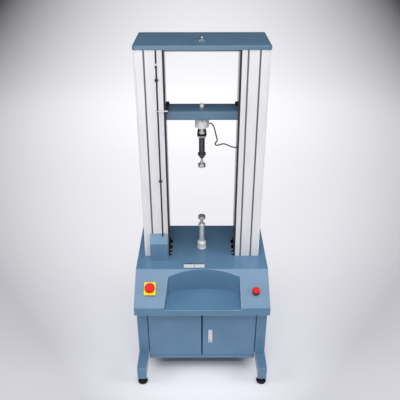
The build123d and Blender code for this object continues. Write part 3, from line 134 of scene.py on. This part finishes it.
def powder_coat(name, dark, light, bend_mm=1.2, bend_highlight=0.0):
    """Polyester powder coat on sheet steel, sprayed and baked: a satin film with fine orange peel,
    slightly thicker and paler in broad patches. Sheet bends are rounded by bend_mm, and a pale painted
    highlight lies on them, as strong as the last argument: by how much the rounded normal leaves the
    flat one, but not in a corner that closes inwards."""
    made, tree, place = start_material(name)
    patches = add(tree, "ShaderNodeTexNoise", {"Vector": place, "Scale": per_mm(160), "Detail": 3.0}, "Fac")
    # Real orange peel is near 1 mm, too fine to show, so it is drawn coarser
    peel = add(tree, "ShaderNodeTexNoise", {"Vector": place, "Scale": per_mm(2.6)}, "Fac")
    clouds = add(tree, "ShaderNodeTexNoise", {"Vector": place, "Scale": per_mm(45), "Detail": 3.0}, "Fac")
    sheen = {"Value": clouds, **middle_half, "To Min": 0.2, "To Max": 0.27}

    bent = add(tree, "ShaderNodeBevel", {"Radius": bend_mm * MM}, "Normal", samples=8)
    flat = add(tree, "ShaderNodeNewGeometry", give="True Normal")
    alike = add(tree, "ShaderNodeVectorMath", {0: bent, 1: flat}, "Value", operation="DOT_PRODUCT")
    rounding = {"Value": alike, "From Min": 0.90, "From Max": 0.985, "To Min": bend_highlight, "To Max": 0.0}
    rounded = add(tree, "ShaderNodeMapRange", rounding, "Result", interpolation_type="SMOOTHSTEP")
    air = add(tree, "ShaderNodeAmbientOcclusion", {"Distance": 2 * bend_mm * MM}, "AO", samples=8,
              only_local=True)
    openness = {"Value": air, "From Min": 0.85, "From Max": 0.97}
    outward = add(tree, "ShaderNodeMapRange", openness, "Result", interpolation_type="SMOOTHSTEP")
    bend = add(tree, "ShaderNodeMath", {0: rounded, 1: outward}, "Value", operation="MULTIPLY")
    # BAD4E8 is a painted highlight on the outward sheet bends.
    coat = {"Factor": bend, "A": two_tones(tree, patches, dark, light), "B": linear("BAD4E8")}
    return end_material(
        made,
        Base_Color=add(tree, "ShaderNodeMix", coat, "Result", data_type="RGBA"),
        Roughness=add(tree, "ShaderNodeMapRange", sheen, "Result"),
        Normal=relief(tree, peel, 0.05, bend_mm),
    )


# The column covers' T-slots: their middles from the inner side, their half width and their depths
slot_offsets = (31.5 * MM, 93.0 * MM)
slot_half = 9.0 * MM
slot_mouth, slot_floor = 0.4 * MM, 13.0 * MM


def anodised_extrusion():
    """Aluminium 6063, extruded and clear anodised: a satin grey-white metal with die lines along Z,
    drawn coarser than the real ones, which are too fine to show. The T-slots are painted darker
    inside, as painted shade."""
    made, tree, place = start_material("anodised_aluminium_extrusion")
    drawn = add(tree, "ShaderNodeMapping", {"Vector": place, "Scale": (1.0, 1.0, 0.004)}, "Vector")
    lines = add(tree, "ShaderNodeTexNoise", {"Vector": drawn, "Scale": per_mm(1.6), "Detail": 3.0}, "Fac")
    tall = add(tree, "ShaderNodeMapping", {"Vector": place, "Scale": (1.0, 1.0, 0.2)}, "Vector")
    clouds = add(tree, "ShaderNodeTexNoise", {"Vector": tall, "Scale": per_mm(70)}, "Fac")
    sheen = {"Value": lines, **middle_half, "To Min": 0.36, "To Max": 0.5}

    axes = add(tree, "ShaderNodeSeparateXYZ", {"Vector": place}).outputs
    off_axis = add(tree, "ShaderNodeMath", {0: axes["X"]}, "Value", operation="ABSOLUTE")
    inside = add(tree, "ShaderNodeMath", {0: axes["Y"], 1: slot_mouth}, "Value", operation="GREATER_THAN")
    before = add(tree, "ShaderNodeMath", {0: axes["Y"], 1: slot_floor}, "Value", operation="LESS_THAN")
    deep = add(tree, "ShaderNodeMath", {0: inside, 1: before}, "Value", operation="MULTIPLY")
    near, far = (
        add(tree, "ShaderNodeMath", {0: off_axis, 1: column_inner + offset, 2: slot_half}, "Value",
            operation="COMPARE")
        for offset in slot_offsets
    )
    slots = add(tree, "ShaderNodeMath", {0: near, 1: far}, "Value", operation="MAXIMUM")
    # The T-slots' insides get painted shade in 8A8A8E.
    dust_and_painted_shade = add(tree, "ShaderNodeMath", {0: deep, 1: slots}, "Value", operation="MULTIPLY")
    skin = {"Factor": dust_and_painted_shade, "A": two_tones(tree, clouds, "E6E5E8", "F0EFF2"), "B": linear("8A8A8E")}
    return end_material(
        made,
        Base_Color=add(tree, "ShaderNodeMix", skin, "Result", data_type="RGBA"),
        Metallic=0.2,
        Roughness=add(tree, "ShaderNodeMapRange", sheen, "Result"),
        Normal=relief(tree, lines, 0.03, 0.6),
    )


def turned_steel(name, dark, light, rough, feed_mm=0.9, metallic=1.0):
    """Carbon steel turned on a lathe: bright metal with fine feed lines round the load axis, drawn
    coarser than the real 0.2 mm feed, which is too fine to show. Nickel, chrome, oil or bluing on it
    changes its tones, its roughness and how metallic it looks."""
    made, tree, place = start_material(name)
    round_axis = add(tree, "ShaderNodeMapping", {"Vector": place, "Scale": (0.02, 0.02, 1.0)}, "Vector")
    feed = {"Vector": round_axis, "Scale": per_mm(feed_mm), "Detail": 3.0}
    lines = add(tree, "ShaderNodeTexNoise", feed, "Fac")
    stain = add(tree, "ShaderNodeTexNoise", {"Vector": place, "Scale": per_mm(18), "Detail": 3.0}, "Fac")
    sheen = {"Value": lines, **middle_half, "To Min": rough * 0.8, "To Max": rough * 1.25}
    return end_material(
        made,
        Base_Color=two_tones(tree, stain, dark, light),
        Metallic=metallic,
        Roughness=add(tree, "ShaderNodeMapRange", sheen, "Result"),
        Normal=relief(tree, lines, 0.03, 0.5),
    )


def plated_steel(name, dark, light, rough, metallic=1.0):
    """Zinc-plated or stainless small parts: pale grey metal with a soft, slightly cloudy shine."""
    made, tree, place = start_material(name)
    spangle = {"Vector": place, "Scale": per_mm(6), "Detail": 4.0, "Roughness": 0.6}
    clouds = add(tree, "ShaderNodeTexNoise", spangle, "Fac")
    grain = add(tree, "ShaderNodeTexNoise", {"Vector": place, "Scale": per_mm(0.8)}, "Fac")
    sheen = {"Value": clouds, **middle_half, "To Min": rough * 0.8, "To Max": rough * 1.3}
    return end_material(
        made,
        Base_Color=two_tones(tree, clouds, dark, light),
        Metallic=metallic,
        Roughness=add(tree, "ShaderNodeMapRange", sheen, "Result"),
        Normal=relief(tree, grain, 0.02, 0.4),
    )


def moulded_plastic(name, dark, light, low, high, grain_mm=1.2, depth_mm=0.03, edge_mm=0.5, shine=0.5):
    """ABS, acetal or polycarbonate, injection moulded: even colour, fine spark-eroded grain and
    softened edges. Extruded PVC and black or grey paint are as even and share it. The roughness goes
    from low to high."""
    made, tree, place = start_material(name)
    tint = add(tree, "ShaderNodeTexNoise", {"Vector": place, "Scale": per_mm(25)}, "Fac")
    spark = {"Vector": place, "Scale": per_mm(grain_mm), "Detail": 3.0}
    grain = add(tree, "ShaderNodeTexNoise", spark, "Fac")
    sheen = {"Value": grain, **middle_half, "To Min": low, "To Max": high}
    return end_material(
        made,
        Base_Color=two_tones(tree, tint, dark, light),
        Roughness=add(tree, "ShaderNodeMapRange", sheen, "Result"),
        Specular_IOR_Level=shine,
        Normal=relief(tree, grain, depth_mm, edge_mm),
    )


def moulded_rubber():
    """Nitrile rubber, compression moulded: near black, matt, paler with dust towards the floor."""
    made, tree, place = start_material("moulded_nitrile_rubber")
    height = add(tree, "ShaderNodeSeparateXYZ", {"Vector": place}, "Z")
    settling = {"Value": height, "From Min": 0.0, "From Max": 14 * MM, "To Min": 0.62, "To Max": 0.30}
    dust = add(tree, "ShaderNodeMapRange", settling, "Result")
    specks = {"Vector": place, "Scale": per_mm(3), "Detail": 4.0, "Roughness": 0.65}
    speckle = add(tree, "ShaderNodeTexNoise", specks, "Fac")
    dust_and_painted_shade = add(tree, "ShaderNodeMath", {0: dust, 1: speckle}, "Value", operation="MULTIPLY")
    sheen = {"Value": speckle, **middle_half, "To Min": 0.7, "To Max": 0.85}
    return end_material(
        made,
        Base_Color=two_tones(tree, dust_and_painted_shade, "161617", "4A4A4C"),
        Roughness=add(tree, "ShaderNodeMapRange", sheen, "Result"),
        Normal=relief(tree, speckle, 0.08, 0.8),
    )


# The last number of each powder coat sets how strong the painted highlight on its bends is.
blue = powder_coat("powder_coat_blue", "5A80A0", "6288A8", 3.5, 0.8)
blue_door = powder_coat("powder_coat_blue_doors", "5A80A0", "6288A8", 3.0, 0.3)
# The top cover, cross beam and crosshead get the blue paint made darker and greyer, as painted shade.
blue_upper_painted_shade = powder_coat("powder_coat_blue_upper", "52728C", "5A7A94", 3.0, 0.3)
blue_leg = powder_coat("powder_coat_blue_legs", "5A7E9D", "6286A5", 3.5, 0.35)
# The inner covers get the blue paint made dark slate, as painted shade inside the columns.
blue_inner_painted_shade = powder_coat("powder_coat_inner_painted_shade", "3A4654", "414E5C")
primer = powder_coat("primed_plate", "4A5058", "555B63")
aluminium = anodised_extrusion()
bright_steel = turned_steel("turned_bright_steel", "C2C2C6", "D4D4D8", 0.34, 0.9, 0.75)
cell_steel = turned_steel("nickel_plated_cell", "EEEDEB", "F6F5F3", 0.45, 0.9, 0.15)
spindle_steel = turned_steel("ground_spindle_steel", "DCDCDE", "ECECEE", 0.36, 0.7, 0.45)
bright_zinc = plated_steel("bright_zinc_plated_steel", "D6D6D8", "E8E8EA", 0.3, 0.5)
chrome = turned_steel("hard_chromed_bar", "D2D2D6", "E4E4E8", 0.12, 0.5)
oiled_steel = turned_steel("oiled_dark_steel", "45464B", "585A60", 0.3, 0.9, 0.6)
blued_steel = turned_steel("blued_steel", "2A2B30", "3A3B42", 0.34)
zinc = plated_steel("zinc_plated_steel", "B4B4B8", "CACACD", 0.3)
black_plastic = moulded_plastic("moulded_black_abs", "17181B", "232428", 0.42, 0.56)
cable_black = moulded_plastic("extruded_black_pvc", "050506", "0A0A0B", 0.55, 0.7, 2.0, 0.02, 0.4, 0.15)
rod_black = moulded_plastic("blackened_rod", "131417", "1F2024", 0.3, 0.45)
yellow_plastic = moulded_plastic("moulded_yellow_abs", "FCEA10", "FFF218", 0.36, 0.46, shine=0.25)
red_plastic = moulded_plastic("moulded_red_polycarbonate", "DE080C", "EA1014", 0.3, 0.4, shine=0.25)
white_plastic = moulded_plastic("moulded_white_acetal", "D6D6D8", "E4E4E6", 0.35, 0.5)
enamel = moulded_plastic("stoved_black_enamel", "222327", "2E2F34", 0.3, 0.42)
case_grey = moulded_plastic("grey_case_coat", "8C8F93", "999CA0", 0.4, 0.5)
rubber = moulded_rubber()

finishes = {
    "deck_housing": blue, "switch_box": blue_door, "left_door": blue_door, "right_door": blue_door,
    "side_panels": blue, "top_cover": blue_upper_painted_shade, "cross_beam": blue_upper_painted_shade, "crosshead_beam": blue_upper_painted_shade,
    "leg_frames": blue_leg, "foot_beams": blue_leg, "cabinet_rails": blue_leg, "cabinet_shell": blue_leg,
    "inner_covers": blue_inner_painted_shade, "right_column_cover": aluminium, "left_column_cover": aluminium,
    "crosshead_stud": bright_steel, "load_cell": cell_steel, "lower_platen": bright_steel,
    "upper_platen": bright_steel, "upper_lock_ring": bright_steel, "hoist_plug": zinc,
    "gearbox_shaft": bright_steel, "left_screw_pulley": bright_steel, "right_screw_pulley": bright_steel,
    "motor_pulley": bright_steel, "guide_bushes": bright_steel, "lead_screw_nuts": bright_steel,
    "lower_fixture_base": cell_steel, "lower_spindle": spindle_steel, "guide_columns": chrome,
    "left_lead_screw": chrome, "right_lead_screw": chrome, "upper_clevis": blued_steel,
    "upper_spindle": oiled_steel, "limit_rod": rod_black, "seal_strips": black_plastic,
    "end_brackets": black_plastic, "stop_collar": black_plastic, "switch_bodies": black_plastic,
    "stop_plunger": black_plastic, "levelling_pads": rubber, "drive_belt": rubber,
    "main_switch_base": yellow_plastic, "main_switch_knob": red_plastic, "stop_head": red_plastic,
    "levelling_studs": zinc, "foot_angles": blued_steel, "foot_screws": bright_zinc,
    "door_hinge_pins": zinc, "latch_case": bright_zinc, "latch_lever": bright_zinc,
    "trip_arm": white_plastic, "rod_guide": white_plastic, "machine_bed": primer,
    "bed_supports": primer, "screw_bearings": primer, "motor_bracket": primer,
    "geared_motor": enamel, "electronics_cases": case_grey,
}

for name, material in finishes.items():
    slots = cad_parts[name].data.materials
    slots.clear()
    slots.append(material)


# New pieces

def new_object(name, data):
    """Links a mesh, curve, light or camera into the scene as an object at the origin."""
    obj = bpy.data.objects.new(name, data)
    bpy.context.scene.collection.objects.link(obj)
    return obj


def place_piece(obj, material, body):
    """Gives a new piece its material and its body."""
    obj.data.materials.append(material)
    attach(obj, body)
    return obj


def turned_mesh(name, outline, spot, axis=(0, 0, 1), steps=48, swell=None, sharp=35):
    """A closed surface of revolution on a grid of outline points and angles, in millimetres.
    outline is (radius, height) up the axis, from a point on the axis to a point on the axis, or a
    closed loop off it. point = spot + (r cos a, r sin a, h) turned to the axis, where r is the
    outline's radius plus swell(a, h). A row on the axis is one vertex. Edges sharper than sharp
    degrees stay sharp."""
    radius, height = np.array(outline, float).T[:, :, None]
    angle = np.arange(steps) * 2 * pi / steps
    on_axis = radius == 0
    swollen = np.where(on_axis, 0.0, radius + (swell(angle, height) if swell else 0.0 * angle))
    grid = np.stack([swollen * np.cos(angle), swollen * np.sin(angle), height + 0.0 * angle], axis=-1)
    kept = ~on_axis | (np.arange(steps) == 0)
    number = (np.cumsum(kept) - 1).reshape(kept.shape)

    low, high = number[:-1], number[1:]
    if not on_axis[0]:
        low, high = number, np.roll(number, -1, axis=0)
    corners = [low, np.roll(low, -1, axis=1), np.roll(high, -1, axis=1), high]
    quads = np.stack(corners, axis=-1).reshape(-1, 4)
    from_point, to_point = quads[:, 0] == quads[:, 1], quads[:, 2] == quads[:, 3]
    faces = quads[~from_point & ~to_point].tolist()
    faces += quads[from_point][:, [0, 2, 3]].tolist() + quads[to_point][:, [0, 1, 2]].tolist()

    turn = np.array(Vector((0, 0, 1)).rotation_difference(Vector(axis)).to_matrix())
    data = bpy.data.meshes.new(name)
    data.from_pydata((np.array(spot) + grid[kept] @ turn.T) * MM, [], faces)
    data.shade_smooth()
    data.set_sharp_from_angle(angle=radians(sharp))
    return new_object(name, data)


def slab(name, x, y, z, corner=1.0, steps=6):
    """A flat plate between two values of x, y and z, in millimetres. Its outline is four quarter
    circles: corner centre + corner (cos a, sin a), a quarter turn each."""
    angle = (np.arange(4)[:, None] + np.linspace(0, 1, steps + 1)) * pi / 2
    right, left = x[1] - corner, x[0] + corner
    back, front = y[1] - corner, y[0] + corner
    across = np.array([right, left, left, right])[:, None] + corner * np.cos(angle)
    along = np.array([back, back, front, front])[:, None] + corner * np.sin(angle)
    rim = np.stack([across.ravel(), along.ravel(), 0 * across.ravel()], axis=-1)
    vertices = np.concatenate([rim + (0, 0, level) for level in z])
    low = np.arange(len(rim))
    top = low + len(rim)
    sides = np.stack([low, np.roll(low, -1), np.roll(top, -1), top], axis=-1)
    data = bpy.data.meshes.new(name)
    data.from_pydata(vertices * MM, [], [low[::-1].tolist(), top.tolist()] + sides.tolist())
    return new_object(name, data)


# The load cell's cable, one given route in millimetres, heights above the deck
cable_diameter = 7.0
cable_start = (41.0, 97.0, 827.0)
cable_route = (
    (48.5, 97.0, 827.0),
    (56.5, 96.8, 823.0),
    (63.0, 96.5, 815.5),
    (67.8, 96.1, 804.5),
    (71.8, 95.5, 790.5),
    (76.0, 94.6, 773.5),
    (80.5, 93.7, 754.5),
    (84.8, 92.9, 739.0),
    (87.8, 92.5, 727.5),
    (81.0, 93.3, 716.0),
    (74.0, 94.2, 706.5),
    (78.5, 95.0, 696.5),
    (92.5, 96.0, 694.5),
    (106.0, 96.6, 700.5),
    (122.0, 97.0, 704.5),
    (139.0, 97.2, 700.0),
    (158.0, 97.0, 690.0),
    (184.0, 97.0, 680.5),
)
cable_end = (208.5, 97.0, 680.5)


def cable():
    """The load cell's cable on one smooth NURBS line from the gland to its clip in the column."""
    points = [(x * MM, y * MM, deck + z * MM) for x, y, z in (cable_start,) + cable_route + (cable_end,)]
    data = bpy.data.curves.new("load_cell_lead", "CURVE")
    data.dimensions = "3D"
    data.bevel_depth = cable_diameter / 2 * MM
    data.bevel_resolution = 5
    data.resolution_u = 12
    data.use_fill_caps = True
    line = data.splines.new("NURBS")
    line.points.add(len(points) - 1)
    for point, spot in zip(line.points, points):
        point.co = (*spot, 1.0)
    line.order_u = 3
    line.use_endpoint_u = True
    lead = place_piece(new_object("load_cell_lead", data), cable_black, "crosshead")
    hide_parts("load_cell_cable")
    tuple(points[0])


# Turned pieces, in millimetres

nut_radius, nut_across_flats = 12.0, 21.0
thread_radius, thread_depth, thread_pitch, thread_rows = 8.8, 1.2, 2.5, 48
thread_low, thread_high = 12.5, 24.0
knurls, knurl_depth, knurl_margin = 72, 0.9, 1.0


def hexagon(angle, height):
    """Takes a circle down to a hexagon: half the width across flats over the cosine of the angle from
    the nearest flat's middle, less the circle's radius."""
    return nut_across_flats / 2 / np.cos(angle % (pi / 3) - pi / 6) - nut_radius


def thread(angle, height):
    """A single-start triangular thread: the radius falls and rises once a pitch."""
    phase = (height / thread_pitch - angle / (2 * pi)) % 1.0
    return -thread_depth * np.abs(2 * phase - 1)


def crown_stud():
    """The threaded stud on the crosshead's top, with its zinc-plated washer and hexagon nut."""
    spot = (0.0, load_axis_y / MM, crosshead_top / MM)
    disc = [(0, 0), (20.4, 0), (21, 0.6), (21, 3.4), (20.4, 4), (0, 4)]
    place_piece(turned_mesh("stud_washer", disc, spot), zinc, "crosshead")

    block = [(0, 4), (11.2, 4), (nut_radius, 4.8), (nut_radius, 12.2), (11.2, 13), (0, 13)]
    nut = turned_mesh("stud_nut", block, spot, steps=72, swell=hexagon, sharp=20)
    place_piece(nut, cell_steel, "crosshead")

    flanks = [(thread_radius, level) for level in np.linspace(thread_low, thread_high, thread_rows + 1)]
    bolt = [(0, thread_low)] + flanks + [(6.0, 26), (0, 26)]
    stud = turned_mesh("crown_stud", bolt, spot, swell=thread, sharp=60)
    place_piece(stud, cell_steel, "crosshead")
    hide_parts("crosshead_stud")


def knurled_ring():
    """The upper fixture's lock ring: straight knurls between two plain bevels."""
    low, high = (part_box("upper_lock_ring")[i][2] / MM for i in (0, 1))
    tall = high - low
    bore, outer = 17.1, 26.0

    def knurl(angle, height):
        """V grooves: the depth times how far the angle is from a knurl's crest, plain at both ends."""
        groove = np.abs(((angle * knurls / (2 * pi)) % 1.0) * 2 - 1)
        return np.where((height > knurl_margin) & (height < tall - knurl_margin), -knurl_depth * groove, 0.0)

    outline = [(bore, 0), (outer - 1, 0), (outer - 0.4, 0.9), (outer, 1.4), (outer, tall - 1.4),
               (outer - 0.4, tall - 0.9), (outer - 1, tall), (bore, tall)]
    spot = (0.0, load_axis_y / MM, low)
    ring = turned_mesh("knurled_lock_ring", outline, spot, steps=knurls * 4, swell=knurl, sharp=25)
    place_piece(ring, bright_steel, "crosshead")
    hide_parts("upper_lock_ring")


cell_radius = 39.0                   # of the load cell's front face from the load axis
cell_screw_height = 854.0            # above the deck
block_screw_place = (-185.5, 58.0)   # X and Y on the left end block
block_rise = 14.0                    # of the end blocks above the crosshead beam


def small_screws():
    """Socket screws: one in the load cell's face, one on the left end block."""
    face = (0.0, load_axis_y / MM - cell_radius, deck / MM + cell_screw_height)
    cell_head = [(0, -2), (3.4, -2), (3.4, 0.6), (3.0, 1.0), (1.7, 1.0), (1.7, -0.6), (0, -0.6)]
    cell_screw = turned_mesh("load_cell_screw", cell_head, face, axis=(0, -1, 0), steps=24)
    place_piece(cell_screw, rod_black, "crosshead")

    top = (*block_screw_place, crosshead_top / MM + block_rise)
    block_head = [(0, -1), (3.2, -1), (3.2, 1.6), (2.6, 2.2), (1.5, 2.2), (1.5, 0.8), (0, 0.8)]
    block_screw = turned_mesh("end_block_screw", block_head, top, steps=24)
    place_piece(block_screw, zinc, "crosshead")


plate_places = {"left": (-108.0, -46.0), "right": (-43.0, 15.0)}  # X of each plate's ends
plate_depth = (-124.0, -82.0)                                     # Y of its front and back
strip_depth = (-91.0, -83.0)
strip_inset = 1.0
plate_levels, strip_levels = (0.0, 0.8), (0.5, 1.1)               # above the deck


def deck_plates():
    """Two bare white plates on the deck's front edge, each with a darker strip along its back."""
    plate_z, strip_z = ([deck / MM + level for level in pair] for pair in (plate_levels, strip_levels))
    for side, (left, right) in plate_places.items():
        base = slab("bare_plate_" + side, (left, right), plate_depth, plate_z)
        place_piece(base, white_plastic, "frame")
        ends = (left + strip_inset, right - strip_inset)
        strip = slab("bare_plate_strip_" + side, ends, strip_depth, strip_z)
        place_piece(strip, black_plastic, "frame")


cable()
crown_stud()
knurled_ring()
small_screws()
deck_plates()


# Stage: a pale floor, soft studio light and the camera

box_light = 0.52     # what the soft boxes give the floor beside the machine
room_glow = 0.08     # the studio's dim walls
lights = {
    # name: (place, width and height, power, shows in reflections), in metres and watts
    "front_box": ((-0.4, -4.2, 1.2), (2.0, 2.0), 35, True),
    "strip_box": ((0.0, -3.1, 4.3), (2.6, 0.35), 42, True),
    "top_box": ((0.0, -0.9, 5.1), (3.0, 3.0), 95, True),
    "left_box": ((-3.8, -1.2, 2.4), (2.0, 2.0), 70, True),
    "right_box": ((3.8, -1.2, 2.4), (2.0, 2.0), 76, True),
    "back_box": ((0.0, 4.5, 3.2), (2.4, 2.4), 20, False),
}
floor_half = 40.0


def sweep_light():
    """A wide matt sweep that glows with painted light, most behind the machine, and falls off all round.
    The camera sees a floor point (X, Y) at across = 3.01 X / (Y + 4.09) and
    up = (1.447 Y - 2.877) / (Y + 4.09), in halves of the picture. With a and u for their squares, its
    light is 0.94 - 0.39 a - 0.17 u - 0.37 a u, less what the soft boxes already give. It fades out
    towards the camera, and under the cabinet, which shades the floor there."""
    made, tree, place = start_material("studio_floor")
    axes = add(tree, "ShaderNodeSeparateXYZ", {"Vector": place}).outputs
    away = add(tree, "ShaderNodeVectorMath", {0: place}, "Value", operation="LENGTH")
    found = {"X": axes["X"], "Y": axes["Y"], "away": away}
    # The floor's emission is painted light that stands in for the studio's light on the sweep.
    steps = (
        # name, sum, terms; SMOOTHSTEP takes the value, its two ends and what they give
        ("ahead", "ADD", "Y", 4.09),
        ("reach", "MAXIMUM", "ahead", 0.5),
        ("wide", "MULTIPLY", "X", 3.01),
        ("across", "DIVIDE", "wide", "reach"),
        ("rise", "MULTIPLY_ADD", "Y", 1.447, -2.877),
        ("up", "DIVIDE", "rise", "reach"),
        ("a", "POWER", "across", 2.0),
        ("u", "POWER", "up", 2.0),
        ("sides", "MULTIPLY_ADD", "a", -0.39, 0.94),
        ("corners", "MULTIPLY_ADD", "a", -0.37, -0.17),
        ("wanted", "MULTIPLY_ADD", "u", "corners", "sides"),
        ("boxes", "SMOOTHSTEP", "away", 0.5, 6.0, box_light, 0.0),
        ("missing", "SUBTRACT", "wanted", "boxes"),
        ("lit", "MAXIMUM", "missing", 0.0),
        ("front", "SMOOTHSTEP", "Y", -3.2, -1.3, 0.0, 1.0),
        ("off_middle_x", "ABSOLUTE", "X"),
        ("off_middle_y", "ABSOLUTE", "Y"),
        # Cutting the glow under the cabinet paints its shadow on the floor.
        ("beside", "SMOOTHSTEP", "off_middle_x", 0.22, 0.36, 0.0, 1.0),
        ("before", "SMOOTHSTEP", "off_middle_y", 0.17, 0.33, 0.0, 1.0),
        ("outside", "MAXIMUM", "beside", "before"),
        ("open_floor", "MULTIPLY", "outside", "front"),
        ("glow", "MULTIPLY", "lit", "open_floor"),
    )
    range_inputs = ("Value", "From Min", "From Max", "To Min", "To Max")
    for result, way, *terms in steps:
        values = [found.get(term, term) for term in terms]
        if way == "SMOOTHSTEP":
            links = dict(zip(range_inputs, values))
            found[result] = add(tree, "ShaderNodeMapRange", links, "Result", interpolation_type=way)
        else:
            found[result] = add(tree, "ShaderNodeMath", dict(enumerate(values)), "Value", operation=way)
    return end_material(made, Base_Color=linear("D6D5DB"), Roughness=0.95, Specular_IOR_Level=0.1,
                        Emission_Color=linear("FCFCFF"), Emission_Strength=found["glow"])


def pale_floor():
    """One flat square under the machine."""
    data = bpy.data.meshes.new("floor")
    corners = [(-floor_half, -floor_half, 0), (floor_half, -floor_half, 0),
               (floor_half, floor_half, 0), (-floor_half, floor_half, 0)]
    data.from_pydata(corners, [], [(0, 1, 2, 3)])
    data.materials.append(sweep_light())
    new_object("floor", data)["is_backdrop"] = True


def soft_light(name, place, size, power, glossy):
    """An oblong soft box that faces the machine's middle."""
    data = bpy.data.lights.new(name, "AREA")
    data.shape = "RECTANGLE"
    data.size, data.size_y = size
    data.energy = power
    obj = new_object(name, data)
    aim = (Vector((0.0, 0.0, 1.0)) - Vector(place)).to_track_quat("-Z", "Y")
    obj.matrix_world = Matrix.Translation(place) @ aim.to_matrix().to_4x4()
    obj.visible_glossy = glossy


def studio():
    """Soft boxes round the machine, in a dim room with a bright sweep."""
    world = bpy.data.worlds.new("dim_room")
    world.use_nodes = True
    background = world.node_tree.nodes["Background"]
    background.inputs["Color"].default_value = linear("E9E9EC")
    background.inputs["Strength"].default_value = room_glow
    bpy.context.scene.world = world
    for name, settings in lights.items():
        soft_light(name, *settings)


# The camera as solved from the photograph's edges, in metres, radians and pixels
camera_place = (-0.01345, -2.691, deck + 1.8675)
camera_tilt, camera_yaw, camera_roll = 0.501499, 0.00089, -0.00096
focal_pixels, picture_pixels, sensor_mm = 527.82, 400, 36.0


def camera():
    """The photograph's camera: a 47.5 mm lens 2.7 m in front, looking down about 29 degrees."""
    right = Vector((cos(camera_yaw), -sin(camera_yaw), 0.0))
    forward = Vector((sin(camera_yaw), cos(camera_yaw), 0.0))
    ahead = forward * cos(camera_tilt) - Vector((0.0, 0.0, sin(camera_tilt)))
    up = forward * sin(camera_tilt) + Vector((0.0, 0.0, cos(camera_tilt)))
    across = right * cos(camera_roll) + up * sin(camera_roll)
    upward = up * cos(camera_roll) - right * sin(camera_roll)
    data = bpy.data.cameras.new("camera")
    data.sensor_width = sensor_mm
    data.lens = focal_pixels / picture_pixels * sensor_mm
    obj = new_object("camera", data)
    turn = Matrix((across, upward, -ahead)).transposed()
    obj.matrix_world = Matrix.Translation(camera_place) @ turn.to_4x4()
    bpy.context.scene.camera = obj
    bpy.context.scene.view_settings.view_transform = "Standard"


pale_floor()
studio()
camera()

plain = [[list(map(float, corner)) for corner in box] for box in (cad_box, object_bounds())]
